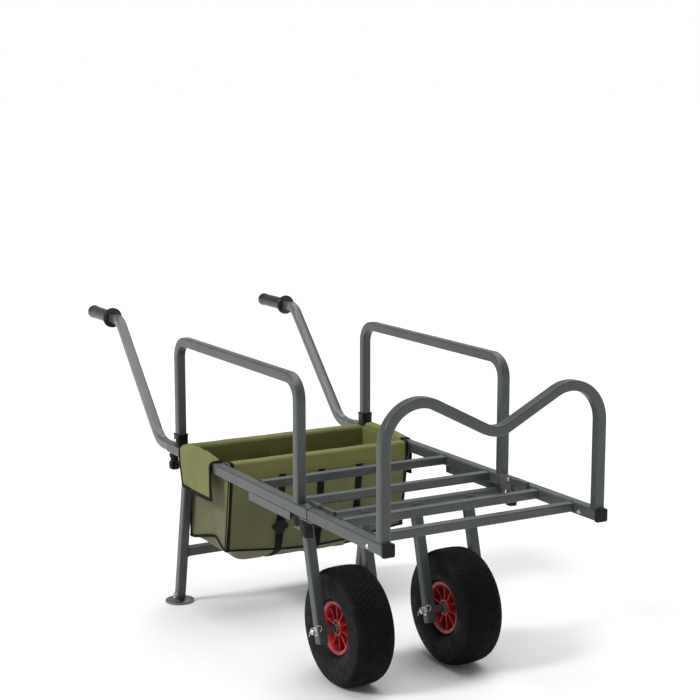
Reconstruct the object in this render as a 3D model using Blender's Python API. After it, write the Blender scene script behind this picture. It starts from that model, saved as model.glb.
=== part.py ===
"""Two-wheeled beach cart: square-tube frame, folding front deck, arches and a rear bag.

Metres, +Z up. X runs across the cart with the left side at -X, -Y is the front and +Y is
the handle end. The origin is on the ground under the middle of the bounding box.
"""
import math

import bmesh
import bpy
from mathutils import Matrix, Vector

# ------------------------------------------------------------------ driving sizes
GAP = 0.0003                    # air between two pieces that touch
SIDES = (("left", -1), ("right", 1))

HALF_WIDTH = 0.2725             # middle of the cart to the outer face of a rail
RAIL = 0.025                    # square tube of the rails
RAIL_WALL = 0.0012              # leaves a 22.6 mm hole that the 22 mm handles slide in
RAIL_TOP = 0.402
BAR = 0.022                     # square tube of arches, guard, forks, legs and handles
BAR_WALL = 0.0015
CORNER = 0.003                  # outer corner radius of every square tube

FRONT_END = -0.786              # front rails, before their caps
FOLD_Y = -0.474                 # slit between front and rear rails, and the fold hinge
REAR_END = 0.262
STIFFENER = 0.018               # square bar welded under each rear rail
STIFFENER_Y = (-0.397, -0.199)

SLAT = 0.020
REAR_SLATS_Y = (-0.385, -0.205, -0.030)
FRONT_SLATS_Y = (-0.700, -0.575)
CROSS_TUBE_Y = 0.200

ARCH_Y = (-0.422, 0.199)        # middles of the front and rear posts
ARCH_TOP = 0.678
ARCH_BEND = 0.044               # bend radii are along the tube's middle
COLLAR = 0.028
COLLAR_HEIGHT = 0.032

GUARD_Y = -0.767
GUARD_SLOPE = math.radians(27)  # fall of the V from hump to dip
GUARD_DIP = 0.5887              # where the two straight runs of the V would meet
GUARD_BEND = 0.080
DIP_BEND = 0.060
CAP = 0.028
CAP_FRONT = -0.788
BOLT_Y, BOLT_Z = -0.725, 0.386

HINGE_TOP = 0.008               # hinge ears round the pin
HINGE_PIN = 0.003
LEAF = 0.003
LEAF_GAP = 0.0003

WHEEL_RADIUS = 0.130
TYRE_HALF_WIDTH = 0.047
AXLE_Y = -0.473
WHEEL_OFFSET = -0.034           # the wheel frame sits this far left of the middle
WHEEL_SPREAD = 0.137            # middle of the wheel frame to each wheel
FORK_HALF = 0.069               # wheel to the middle of a fork leg
FORK_PIVOT = (-0.412, 0.360)    # y, z
FORK_FOOT_Z = 0.104
PIVOT_TUBE = 0.011              # radius
AXLE = 0.006                    # radius

LEG_PIVOT = (0.158, 0.362)      # y, z
LEG_FOOT = (0.224, 0.0)
LEG_END_Z = 0.010
CROSSBAR_Z = 0.134
FOOT_RADIUS = 0.036
FOOT_PLATE = 0.004
FOOT_STEM = 0.120               # how far the foot's stem runs up inside the leg

HANDLE_START = 0.140            # inner end, inside the rail
HANDLE_ELBOW = 0.328
HANDLE_BEND_TOP = (0.591, 0.665)
HANDLE_TUBE_END = 0.775
GRIP_START, GRIP_END = 0.640, 0.788

BAG_Y = (-0.012, 0.186)
BAG_HALF = 0.2455
BAG_FLOOR = 0.157
BAG_HEM = 0.4043
BAG_LEAN = 0.031                # how far the top of the front wall leans out, to pass the slat
BAG_LEAN_Z = 0.375              # above this the front wall is upright
FRONT_HEM_END = -0.0165         # rear edge of the hem that goes over the slat
CLOTH = 0.002
FLAP_Y = (-0.006, 0.180)
FLAP_OUT = 0.2768
FLAP_BOTTOM = 0.312
STRAP = (0.022, 0.0012)
STRAPS_X = (("left", -0.106), ("centre", 0.0), ("right", 0.106))

RAIL_X = HALF_WIDTH - RAIL / 2
RAIL_Z = RAIL_TOP - RAIL / 2
RAIL_BOTTOM = RAIL_TOP - RAIL
RAIL_INNER = HALF_WIDTH - RAIL
BAR_X = HALF_WIDTH - BAR / 2
ON_RAIL = RAIL_TOP + GAP
UNDER_RAIL = RAIL_BOTTOM - GAP

ACROSS = Vector((1, 0, 0))
ALONG = Vector((0, 1, 0))

# name: colour, roughness, metallic
FINISHES = {
    "frame_paint": ((0.115, 0.135, 0.120), 0.42, 0.3),
    "zinc": ((0.62, 0.62, 0.60), 0.35, 0.9),
    "black_plastic": ((0.018, 0.018, 0.018), 0.55, 0.0),
    "tyre_rubber": ((0.012, 0.012, 0.012), 0.85, 0.0),
    "rim_red": ((0.42, 0.012, 0.010), 0.35, 0.0),
    "hub_grey": ((0.20, 0.20, 0.18), 0.50, 0.2),
    "canvas": ((0.165, 0.175, 0.062), 0.90, 0.0),
    "webbing": ((0.014, 0.014, 0.012), 0.90, 0.0),
}


# ------------------------------------------------------------------ general helpers
def clear_scene():
    for old in list(bpy.data.objects):
        bpy.data.objects.remove(old, do_unlink=True)


def make_object(name, mesh, finish, parent=None):
    """Turn a bmesh into a named, finished object; its mesh stays in the parent's frame."""
    bmesh.ops.recalc_face_normals(mesh, faces=mesh.faces)
    data = bpy.data.meshes.new(name)
    mesh.to_mesh(data)
    mesh.free()
    data.shade_smooth()
    data.set_sharp_from_angle(angle=math.radians(35))
    colour, roughness, metallic = FINISHES[finish]
    material = bpy.data.materials.new(name + "_finish")
    material.use_nodes = True
    shader = material.node_tree.nodes["Principled BSDF"]
    shader.inputs["Base Color"].default_value = (*colour, 1)
    shader.inputs["Roughness"].default_value = roughness
    shader.inputs["Metallic"].default_value = metallic
    data.materials.append(material)
    piece = bpy.data.objects.new(name, data)
    bpy.context.scene.collection.objects.link(piece)
    piece.parent = parent
    return piece


def pivot(name, location):
    """An empty on a joint's axis, which the pieces of that body hang from."""
    empty = bpy.data.objects.new(name, None)
    empty.location = location
    bpy.context.scene.collection.objects.link(empty)
    return empty


def hang(piece, joint):
    """Parent a piece whose mesh is in world coordinates to a joint's empty."""
    piece.parent = joint
    piece.location = -joint.location
    return piece


def tool(name, mesh):
    """A Boolean tool: seen as wire, never rendered."""
    cutter = make_object(name, mesh, "zinc")
    cutter.hide_render = True
    cutter.display_type = "WIRE"
    return cutter


def combine(piece, other, operation):
    modifier = piece.modifiers.new(other.name, "BOOLEAN")
    modifier.operation = operation
    modifier.object = other


def skin(rings, closed=False):
    """Faces through rings of equal length; unless closed, both ends get a flat cap."""
    mesh = bmesh.new()
    loops = [[mesh.verts.new(point) for point in ring] for ring in rings]
    pairs = list(zip(loops, loops[1:]))
    if closed:
        pairs.append((loops[-1], loops[0]))
    else:
        mesh.faces.new(loops[0])
        mesh.faces.new(loops[-1])
    for first, second in pairs:
        count = len(first)
        for i in range(count):
            j = (i + 1) % count
            mesh.faces.new((first[i], first[j], second[j], second[i]))
    return mesh


def square_section(side, corner, steps=2):
    """Points round a square with rounded corners, centred on its axis."""
    inset = side / 2 - corner
    points = []
    for quarter, (u, v) in enumerate(((1, 1), (-1, 1), (-1, -1), (1, -1))):
        for step in range(steps + 1):
            angle = math.radians(90) * (quarter + step / steps)
            points.append((inset * u + corner * math.cos(angle),
                           inset * v + corner * math.sin(angle)))
    return points


def round_section(radius, count, lobes=0, depth=0.0):
    """Points round a circle, drawn in between its lobes if it has any."""
    points = []
    for i in range(count):
        angle = math.tau * i / count
        reach = radius * (1 - depth * (0.5 - 0.5 * math.cos(lobes * angle)))
        points.append((reach * math.cos(angle), reach * math.sin(angle)))
    return points


def straight_path(start, end):
    start, end = Vector(start), Vector(end)
    along = (end - start).normalized()
    return [(start, along), (end, along)]


def bent_path(corners, radii):
    """Points and directions along straight runs joined by arcs, one radius a corner."""
    points = [Vector(corner) for corner in corners]
    path = [(points[0], (points[1] - points[0]).normalized())]
    for before, corner, after, radius in zip(points, points[1:], points[2:], radii):
        come = (corner - before).normalized()
        turn = come.angle(after - corner)
        axis = come.cross(after - corner).normalized()
        start = corner - come * radius * math.tan(turn / 2)
        centre = start + axis.cross(come) * radius
        steps = max(3, round(math.degrees(turn) / 18))
        for step in range(steps + 1):
            swing = Matrix.Rotation(turn * step / steps, 3, axis)
            path.append((centre + swing @ (start - centre), swing @ come))
    path.append((points[-1], path[-1][1]))
    return path


def sweep(path, section, across):
    """Rings of a section carried along a flat path whose plane has the normal across."""
    rings = []
    for point, along in path:
        upward = along.cross(across)
        rings.append([point + across * u + upward * v for u, v in section])
    return rings


def square_tube(name, path, side, wall, across, finish="frame_paint"):
    """An open-ended square tube along a path; a bent one has plainer corners."""
    steps = 2 if len(path) == 2 else 1
    outer = sweep(path, square_section(side, CORNER, steps), across)
    inner = sweep(path, square_section(side - 2 * wall, CORNER - wall, steps), across)
    return make_object(name, skin(outer + inner[::-1], closed=True), finish)


def turned(profile, count, closed=False):
    """Turn (height, radius) points about Z."""
    rings = [[(x, y, height) for x, y in round_section(radius, count)]
             for height, radius in profile]
    return skin(rings, closed)


def block(low, high):
    """A box between two corners."""
    (x0, y0, z0), (x1, y1, z1) = low, high
    floor = [(x0, y0), (x1, y0), (x1, y1), (x0, y1)]
    return skin([[(x, y, z) for x, y in floor] for z in (z0, z1)])


def cross_rod(centre, radius, length, count=12):
    """A solid round rod along X."""
    x, y, z = centre
    section = round_section(radius, count)
    return skin([[(x + end, y + u, z + v) for u, v in section]
                 for end in (-length / 2, length / 2)])


def mirrored_block(sign, x_range, y_range, z_range):
    """A box given by distances from the middle of the cart, on the left or right."""
    low_x, high_x = sorted(sign * x for x in x_range)
    return block((low_x, y_range[0], z_range[0]), (high_x, y_range[1], z_range[1]))


# ------------------------------------------------------------------ fixed frame
def rear_rail(side, sign):
    """Rail with its stiffener bar welded underneath."""
    x = sign * RAIL_X
    path = straight_path((x, FOLD_Y + GAP, RAIL_Z), (x, REAR_END, RAIL_Z))
    rail = square_tube("rear_rail_" + side, path, RAIL, RAIL_WALL, ACROSS)
    bar = tool("stiffener_" + side, mirrored_block(
        sign, (HALF_WIDTH - STIFFENER, HALF_WIDTH), STIFFENER_Y,
        (RAIL_BOTTOM - STIFFENER, RAIL_BOTTOM + RAIL_WALL / 2)))
    combine(rail, bar, "UNION")


def cross_member(name, y, side, top):
    """A tube from rail to rail."""
    reach = RAIL_INNER - GAP
    z = top - side / 2
    path = straight_path((-reach, y, z), (reach, y, z))
    return square_tube(name, path, side, BAR_WALL, ALONG)


def arch_collar(side, sign):
    """Plastic socket on the rail that the arch's rear post stands in."""
    path = straight_path((sign * BAR_X, ARCH_Y[1], ON_RAIL),
                         (sign * BAR_X, ARCH_Y[1], RAIL_TOP + COLLAR_HEIGHT))
    wall = (COLLAR - BAR) / 2 - GAP
    square_tube("arch_collar_" + side, path, COLLAR, wall, ACROSS, "black_plastic")


def fork_bracket(side, sign):
    """Plate under the rail with the bearing hole of the fork's pivot tube."""
    y, z = FORK_PIVOT
    plate = make_object("fork_bracket_" + side, mirrored_block(
        sign, (0.2575, 0.2635), (y - 0.0145, y + 0.0145), (z - 0.017, UNDER_RAIL)),
        "frame_paint")
    hole = tool("fork_bracket_hole_" + side,
                cross_rod((sign * 0.2605, y, z), PIVOT_TUBE + 0.0005, 0.02, 24))
    combine(plate, hole, "DIFFERENCE")


def fold_bracket(side, sign):
    """Shelf under the slit, with an inner cheek that carries the hinge pin."""
    inner = RAIL_INNER - LEAF_GAP
    bracket = make_object("fold_bracket_" + side, mirrored_block(
        sign, (inner - LEAF, HALF_WIDTH), (FOLD_Y - 0.020, FOLD_Y + 0.034),
        (UNDER_RAIL - 0.0025, UNDER_RAIL)), "frame_paint")
    cheek = tool("fold_cheek_" + side, mirrored_block(
        sign, (inner - LEAF, inner), (FOLD_Y - HINGE_TOP, FOLD_Y + 0.034),
        (UNDER_RAIL - 0.0020, RAIL_TOP + HINGE_TOP)))
    hole = tool("fold_cheek_hole_" + side,
                cross_rod((sign * inner, FOLD_Y, RAIL_TOP), HINGE_PIN + 0.0004, 0.02, 16))
    combine(bracket, cheek, "UNION")
    combine(bracket, hole, "DIFFERENCE")


def leg_bracket(side, sign):
    """Plate under the rail with the stub pin that the rear leg turns on."""
    y, z = LEG_PIVOT
    plate = make_object("leg_bracket_" + side, mirrored_block(
        sign, (RAIL_INNER + 0.0002, HALF_WIDTH - BAR - GAP), (y - 0.012, y + 0.012),
        (z - 0.012, UNDER_RAIL)), "frame_paint")
    start, end = RAIL_INNER + 0.001, HALF_WIDTH - GAP
    pin = tool("leg_pin_" + side,
               cross_rod((sign * (start + end) / 2, y, z), 0.005, end - start))
    combine(plate, pin, "UNION")


def bag():
    """Open-topped bag: its front hem goes over the last slat and its flaps over the rails."""
    def rectangle(inset, z, lean=0.0):
        x, low, high = BAG_HALF - inset, BAG_Y[0] - lean + inset, BAG_Y[1] - inset
        return [(-x, low, z), (x, low, z), (x, high, z), (-x, high, z)]

    chamfer = 0.012
    rim = BAG_HEM - CLOTH
    shell = make_object("bag", skin([
        rectangle(chamfer, BAG_FLOOR), rectangle(0, BAG_FLOOR + chamfer),
        rectangle(0, BAG_LEAN_Z, BAG_LEAN), rectangle(0, rim, BAG_LEAN),
        rectangle(CLOTH, rim, BAG_LEAN), rectangle(CLOTH, BAG_LEAN_Z, BAG_LEAN),
        rectangle(CLOTH, BAG_FLOOR + chamfer + CLOTH),
        rectangle(chamfer + CLOTH, BAG_FLOOR + CLOTH)]), "canvas")
    front = BAG_Y[0] - BAG_LEAN
    hem = tool("hem_top", block((-BAG_HALF, front, rim), (BAG_HALF, FRONT_HEM_END, BAG_HEM)))
    edge = tool("hem_wall", block((-BAG_HALF, front, rim - 0.01),
                                  (BAG_HALF, front + CLOTH, BAG_HEM - CLOTH / 2)))
    for part in (hem, edge):
        combine(shell, part, "UNION")
    for side, sign in SIDES:
        over = tool("flap_top_" + side, mirrored_block(
            sign, (BAG_HALF - CLOTH, FLAP_OUT), FLAP_Y, (rim, BAG_HEM)))
        wall = tool("flap_wall_" + side, mirrored_block(
            sign, (BAG_HALF - CLOTH, BAG_HALF), FLAP_Y, (rim - 0.01, BAG_HEM - CLOTH / 2)))
        outside = tool("flap_outside_" + side, mirrored_block(
            sign, (FLAP_OUT - CLOTH, FLAP_OUT), FLAP_Y, (FLAP_BOTTOM, BAG_HEM - CLOTH / 2)))
        for part in (over, wall, outside):
            combine(shell, part, "UNION")
    y, half = REAR_SLATS_Y[-1], SLAT / 2 + GAP
    slot = tool("slat_slot", block((-HALF_WIDTH, y - half, RAIL_TOP - SLAT - GAP),
                                   (HALF_WIDTH, y + half, ON_RAIL + 0.0002)))
    combine(shell, slot, "DIFFERENCE")


def bag_strap(side, x):
    """Webbing down the front of the bag, under it and up its back."""
    width, thick = STRAP
    off = GAP + thick
    fall = BAG_LEAN / (BAG_LEAN_Z - BAG_FLOOR)
    front, back = BAG_Y[0] - 1.05 * off, BAG_Y[1] + off - GAP / 2
    floor, top = BAG_FLOOR - off, BAG_LEAN_Z - 0.003
    path = bent_path([(x, front - fall * (top - floor), top), (x, front, floor),
                      (x, back, floor), (x, back, top)], (0.014, 0.014))
    half = [(u * width / 2, v * thick / 2) for u, v in ((1, 1), (-1, 1), (-1, -1), (1, -1))]
    make_object("bag_strap_" + side, skin(sweep(path, half, ACROSS)), "webbing")


def fixed_frame():
    for side, sign in SIDES:
        rear_rail(side, sign)
        arch_collar(side, sign)
        fork_bracket(side, sign)
        fold_bracket(side, sign)
        leg_bracket(side, sign)
    for number, y in enumerate(REAR_SLATS_Y, 1):
        cross_member("rear_slat_%d" % number, y, SLAT, RAIL_TOP)
    cross_member("rear_cross_tube", CROSS_TUBE_Y, BAR, RAIL_TOP - 0.002)
    bag()
    for side, x in STRAPS_X:
        bag_strap(side, x)


# ------------------------------------------------------------------ folding front deck
def front_rail(side, sign, hinge):
    """Rail with a hinge ear and pin welded to its inner face."""
    x = sign * RAIL_X
    path = straight_path((x, FRONT_END, RAIL_Z), (x, FOLD_Y - 2 * GAP, RAIL_Z))
    rail = hang(square_tube("front_rail_" + side, path, RAIL, RAIL_WALL, ACROSS), hinge)
    outer = RAIL_INNER - LEAF_GAP - LEAF - LEAF_GAP
    inner = outer - LEAF
    foot = tool("ear_foot_" + side, mirrored_block(
        sign, (inner, RAIL_INNER + RAIL_WALL / 2), (FOLD_Y - 0.071, FOLD_Y - 0.029),
        (RAIL_TOP - 0.021, RAIL_TOP + 0.007)))
    arm = tool("ear_arm_" + side, mirrored_block(
        sign, (inner, outer), (FOLD_Y - 0.046, FOLD_Y), (RAIL_TOP - 0.007, RAIL_TOP + 0.006)))
    eye = tool("ear_eye_" + side,
               cross_rod((sign * (outer + inner) / 2, FOLD_Y, RAIL_TOP), HINGE_TOP, LEAF, 16))
    pin_length = RAIL_INNER - inner - 0.001
    pin = tool("ear_pin_" + side,
               cross_rod((sign * (inner + pin_length / 2 + 0.0005), FOLD_Y, RAIL_TOP),
                         HINGE_PIN, pin_length, 12))
    for part in (foot, arm, eye, pin):
        combine(rail, part, "UNION")
    hole = tool("bolt_hole_" + side, cross_rod((x, BOLT_Y, BOLT_Z), 0.0034, 0.04, 10))
    combine(rail, hole, "DIFFERENCE")


def deck_bolt(side, sign, hinge):
    """Dome-headed bolt through the front rail."""
    shank, head, dome = 0.0030, 0.0052, 0.0034
    outside = HALF_WIDTH + GAP
    profile = [(outside - 0.029, shank), (outside, shank), (outside, head),
               (outside + 0.6 * dome, 0.85 * head), (outside + dome, 0.35 * head)]
    bolt = make_object("deck_bolt_" + side, turned(profile, 12), "zinc", hinge)
    bolt.location = Vector((0, BOLT_Y, BOLT_Z)) - hinge.location
    bolt.rotation_euler = (0, sign * math.radians(90), 0)


def end_cap(side, sign, hinge):
    """Square cup pushed over the front end of the rail."""
    plate_back = FRONT_END - GAP
    skirt_back = FRONT_END + 0.0075
    outer = square_section(CAP, CORNER)
    inner = square_section(RAIL + 2 * GAP, CORNER)
    centre = Vector((sign * RAIL_X, 0, RAIL_Z))

    def ring(section, y):
        return [centre + Vector((u, y, v)) for u, v in section]

    rings = [ring(outer, CAP_FRONT), ring(outer, skirt_back),
             ring(inner, skirt_back), ring(inner, plate_back)]
    hang(make_object("end_cap_" + side, skin(rings), "black_plastic"), hinge)


def front_guard(hinge):
    """Two posts joined by a top bar with humps and a V between them."""
    peak = GUARD_DIP + BAR_X * math.tan(GUARD_SLOPE)
    corners = [(x, GUARD_Y, z) for x, z in (
        (-BAR_X, ON_RAIL), (-BAR_X, peak), (0, GUARD_DIP), (BAR_X, peak), (BAR_X, ON_RAIL))]
    path = bent_path(corners, (GUARD_BEND, DIP_BEND, GUARD_BEND))
    hang(square_tube("front_guard", path, BAR, BAR_WALL, ALONG), hinge)


def front_deck():
    hinge = pivot("front_deck_hinge", (0, FOLD_Y, RAIL_TOP))
    for side, sign in SIDES:
        front_rail(side, sign, hinge)
        end_cap(side, sign, hinge)
        deck_bolt(side, sign, hinge)
    for number, y in enumerate(FRONT_SLATS_Y, 1):
        hang(cross_member("front_slat_%d" % number, y, SLAT, RAIL_TOP), hinge)
    front_guard(hinge)


# ------------------------------------------------------------------ arches and handles
def arch(side, sign):
    """Inverted U that lifts out of its socket."""
    lift = pivot("arch_lift_" + side, (sign * BAR_X, ARCH_Y[1], RAIL_TOP))
    top = ARCH_TOP - BAR / 2
    corners = [(sign * BAR_X, y, z) for y, z in (
        (ARCH_Y[0], ON_RAIL), (ARCH_Y[0], top), (ARCH_Y[1], top), (ARCH_Y[1], ON_RAIL))]
    path = bent_path(corners, (ARCH_BEND, ARCH_BEND))
    hang(square_tube("arch_" + side, path, BAR, BAR_WALL, ACROSS), lift)


def handle(side, sign):
    """Bent tube that slides in the end of the rail, with a grip on its far end."""
    slide = pivot("handle_slide_" + side, (sign * RAIL_X, REAR_END, RAIL_Z))
    bend_y, bend_z = HANDLE_BEND_TOP
    corners = [(sign * RAIL_X, y, z) for y, z in (
        (HANDLE_START, RAIL_Z), (HANDLE_ELBOW, RAIL_Z), (bend_y, bend_z),
        (HANDLE_TUBE_END, bend_z))]
    path = bent_path(corners, (0.075, 0.050))
    hang(square_tube("handle_tube_" + side, path, BAR, BAR_WALL, ACROSS), slide)

    centre = Vector((sign * RAIL_X, 0, bend_z))

    def ring(section, y):
        return [centre + Vector((u, y, v)) for u, v in section]

    outline = [(GRIP_END, 0.008), (GRIP_END - 0.003, 0.0145), (GRIP_END - 0.010, 0.0182),
               (GRIP_END - 0.028, 0.0168), (GRIP_START + 0.008, 0.0168),
               (GRIP_START + 0.006, 0.0260), (GRIP_START, 0.0265)]
    rings = [ring(round_section(radius, 12), y) for y, radius in outline]
    bore = square_section(BAR + 2 * GAP, CORNER)
    rings += [ring(bore, GRIP_START), ring(bore, HANDLE_TUBE_END + GAP)]
    hang(make_object("handle_grip_" + side, skin(rings), "black_plastic"), slide)


def star_knob(name, x, y, top, height):
    """Five-lobed clamp knob hanging under the frame, turning about Z."""
    depth = 0.16
    outline = [(0, 0.0125, depth), (0.0015, 0.0140, depth), (0.015, 0.0140, depth),
               (0.018, 0.0088, 0), (height - 0.010, 0.0088, 0), (height - 0.009, 0.0105, 0),
               (height, 0.0105, 0)]
    rings = [[(u, v, z) for u, v in round_section(radius, 15, 5, dip)]
             for z, radius, dip in outline]
    knob = make_object(name, skin(rings), "black_plastic")
    knob.location = (x, y, top - height)


def knobs():
    for side, sign in SIDES:
        star_knob("handle_knob_" + side, sign * RAIL_X, 0.247, UNDER_RAIL, 0.0427)
        star_knob("fold_knob_" + side, sign * 0.2620, FOLD_Y + 0.016,
                  UNDER_RAIL - 0.0025 - GAP, 0.0389)


# ------------------------------------------------------------------ wheel frame
FORK_LINE = Vector((0, AXLE_Y - FORK_PIVOT[0], WHEEL_RADIUS - FORK_PIVOT[1])).normalized()
WHEELS_X = (("left", WHEEL_OFFSET - WHEEL_SPREAD), ("right", WHEEL_OFFSET + WHEEL_SPREAD))
CLIP_X = -(FORK_HALF + BAR / 2 + 0.006)      # from the wheel's middle, outside the left leg
CLIP_LINE = Vector((0, -0.954, 0.300)).normalized()


def fork_leg(name, x, fold):
    """Leg from the pivot tube to just past the axle."""
    origin = Vector((x, *FORK_PIVOT))
    start = origin + FORK_LINE * (PIVOT_TUBE + GAP)
    end = origin + FORK_LINE * ((FORK_PIVOT[1] - FORK_FOOT_Z) / -FORK_LINE.z)
    leg = hang(square_tube(name, straight_path(start, end), BAR, BAR_WALL, ACROSS), fold)
    hole = tool(name + "_hole", cross_rod((x, AXLE_Y, WHEEL_RADIUS), AXLE + GAP, 0.04, 16))
    combine(leg, hole, "DIFFERENCE")


def axle(side, x, fold):
    """Headed axle pin with a cross hole near its left end for the clip."""
    left, right = -(FORK_HALF + BAR / 2 + 0.011), FORK_HALF + BAR / 2 + GAP
    profile = [(left, 0.8 * AXLE), (left + 0.0012, AXLE), (right, AXLE), (right, 0.010),
               (right + 0.005, 0.010), (right + 0.006, 0.008)]
    pin = make_object("axle_" + side, turned(profile, 16), "zinc", fold)
    pin.location = Vector((x, AXLE_Y, WHEEL_RADIUS)) - fold.location
    pin.rotation_euler = (0, math.radians(90), 0)
    centre = Vector((x + CLIP_X, AXLE_Y, WHEEL_RADIUS))
    path = straight_path(centre - CLIP_LINE * 0.01, centre + CLIP_LINE * 0.01)
    hole = tool("axle_hole_" + side, skin(sweep(path, round_section(0.0017, 10), ACROSS)))
    combine(pin, hole, "DIFFERENCE")


def axle_clip(side, x):
    """Hairpin clip: one leg through the axle, the other past it, joined by an eye."""
    wire = 0.00125
    centre = Vector((x + CLIP_X, AXLE_Y, WHEEL_RADIUS))
    pull = pivot("clip_pull_" + side, centre)
    beside = CLIP_LINE.cross(ACROSS)
    clear = AXLE + wire + 0.0008
    corners = [centre + CLIP_LINE * s + beside * t for s, t in (
        (-0.016, 0), (0.022, 0), (0.022, clear), (-0.012, clear), (-0.020, clear + 0.006))]
    reach = 0.49 * clear
    path = bent_path(corners, (reach, reach, 0.008))
    rings = sweep(path, round_section(wire, 6), ACROSS)
    hang(make_object("axle_clip_" + side, skin(rings), "zinc"), pull)


def tyre(side, hub):
    """Carcass with its beads open towards the rim; (offset, radius) outline."""
    outside = [(0.0297, 0.0503), (0.0297, 0.0592), (0.0440, 0.0720),
               (TYRE_HALF_WIDTH, 0.0960), (0.0405, 0.1205), (0, WHEEL_RADIUS)]
    inside = [(0, 0.1235), (0.0350, 0.1160), (0.0410, 0.0940), (0.0370, 0.0750),
              (0.0235, 0.0630), (0.0235, 0.0503)]
    half = outside[:-1]
    outline = ([(x, r) for x, r in half] + [outside[-1]] + [(-x, r) for x, r in half[::-1]]
               + [(-x, r) for x, r in inside[:0:-1]] + [inside[0]] + inside[1:])
    piece = make_object("tyre_" + side, turned(outline, 24, closed=True), "tyre_rubber", hub)
    piece.rotation_euler = (0, math.radians(90), 0)


def rim(side, hub):
    """Moulded rim: hub boss, thin web, barrel with flanges, and ten ribs."""
    half = [(0.0300, 0.0140), (0.0300, 0.0185), (0.0030, 0.0215), (0.0030, 0.0465),
            (0.0330, 0.0505), (0.0330, 0.0580), (0.0303, 0.0580), (0.0303, 0.0500)]
    outline = half + [(-x, r) for x, r in half[::-1]]
    piece = make_object("rim_" + side, turned(outline, 24, closed=True), "rim_red", hub)
    piece.rotation_euler = (0, math.radians(90), 0)
    ribs = bmesh.new()
    inner, outer, half_thick, half_depth = 0.0170, 0.0488, 0.0012, 0.0270
    for number in range(10):
        turn = Matrix.Rotation(math.tau * (number + 0.25) / 10, 3, "Z")
        corners = [(inner, -half_thick), (outer, -half_thick), (outer, half_thick),
                   (inner, half_thick)]
        loops = [[ribs.verts.new(turn @ Vector((u, v, z))) for u, v in corners]
                 for z in (-half_depth, half_depth)]
        ribs.faces.new(loops[0][::-1])
        ribs.faces.new(loops[1])
        for i in range(4):
            j = (i + 1) % 4
            ribs.faces.new((loops[0][i], loops[0][j], loops[1][j], loops[1][i]))
    rib_tool = tool("ribs_" + side, ribs)
    rib_tool.parent = hub
    rib_tool.rotation_euler = (0, math.radians(90), 0)
    combine(piece, rib_tool, "UNION")


def hub_bush(side, hub):
    """Sleeve in the rim that turns on the axle."""
    bore, outer, half = AXLE + 0.0002, 0.0134, 0.0365
    outline = [(-half, bore), (-half, outer), (half, outer), (half, bore)]
    piece = make_object("hub_bush_" + side, turned(outline, 20, closed=True), "hub_grey", hub)
    piece.rotation_euler = (0, math.radians(90), 0)


def inner_tube(side, hub):
    """Air tube with its valve opening facing the rim."""
    around, about = 20, 6
    middle, half_width, half_height, wall = 0.0890, 0.0320, 0.0290, 0.002
    mesh = bmesh.new()
    shells = []
    for inset in (0, wall):
        shell = []
        for i in range(around):
            turn = math.tau * i / around
            ring = []
            for j in range(about):
                angle = math.tau * (j + 0.5) / about
                radius = middle + (half_height - inset) * math.cos(angle)
                offset = (half_width - inset) * math.sin(angle)
                ring.append(mesh.verts.new((radius * math.cos(turn), radius * math.sin(turn),
                                            offset)))
            shell.append(ring)
        shells.append(shell)
    valve = about // 2 - 1
    for shell in shells:
        for i in range(around):
            for j in range(about):
                if (i, j) == (0, valve):
                    continue
                k, m = (i + 1) % around, (j + 1) % about
                mesh.faces.new((shell[i][j], shell[k][j], shell[k][m], shell[i][m]))
    edge = [(0, valve), (1, valve), (1, valve + 1), (0, valve + 1)]
    for first, second in zip(edge, edge[1:] + edge[:1]):
        mesh.faces.new((shells[0][first[0]][first[1]], shells[0][second[0]][second[1]],
                        shells[1][second[0]][second[1]], shells[1][first[0]][first[1]]))
    piece = make_object("inner_tube_" + side, mesh, "tyre_rubber", hub)
    piece.rotation_euler = (0, math.radians(90), 0)


def wheel_frame():
    fold = pivot("wheel_frame_fold", (0, *FORK_PIVOT))
    reach = HALF_WIDTH - 0.002
    ends = straight_path((-reach, *FORK_PIVOT), (reach, *FORK_PIVOT))
    outer = sweep(ends, round_section(PIVOT_TUBE, 24), ALONG)
    inner = sweep(ends, round_section(PIVOT_TUBE - BAR_WALL, 24), ALONG)
    hang(make_object("fork_pivot_tube", skin(outer + inner[::-1], closed=True),
                     "frame_paint"), fold)
    for side, x in WHEELS_X:
        fork_leg("fork_leg_%s_a" % side, x - FORK_HALF, fold)
        fork_leg("fork_leg_%s_b" % side, x + FORK_HALF, fold)
        axle(side, x, fold)
        axle_clip(side, x)
        hub = pivot("wheel_spin_" + side, (x, AXLE_Y, WHEEL_RADIUS))
        tyre(side, hub)
        inner_tube(side, hub)
        rim(side, hub)
        hub_bush(side, hub)


# ------------------------------------------------------------------ rear legs and feet
LEG_LINE = Vector((0, LEG_FOOT[0] - LEG_PIVOT[0], LEG_FOOT[1] - LEG_PIVOT[1])).normalized()


def on_leg(x, z):
    """The point on a leg's middle line at height z."""
    return Vector((x, *LEG_PIVOT)) + LEG_LINE * ((LEG_PIVOT[1] - z) / -LEG_LINE.z)


def rear_leg(side, sign, fold):
    x = sign * BAR_X
    start = Vector((x, *LEG_PIVOT)) - LEG_LINE * 0.0075
    path = straight_path(start, on_leg(x, LEG_END_Z))
    leg = hang(square_tube("rear_leg_" + side, path, BAR, BAR_WALL, ACROSS), fold)
    hole = tool("leg_hole_" + side, cross_rod((x, *LEG_PIVOT), 0.0054, 0.04, 16))
    combine(leg, hole, "DIFFERENCE")


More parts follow.
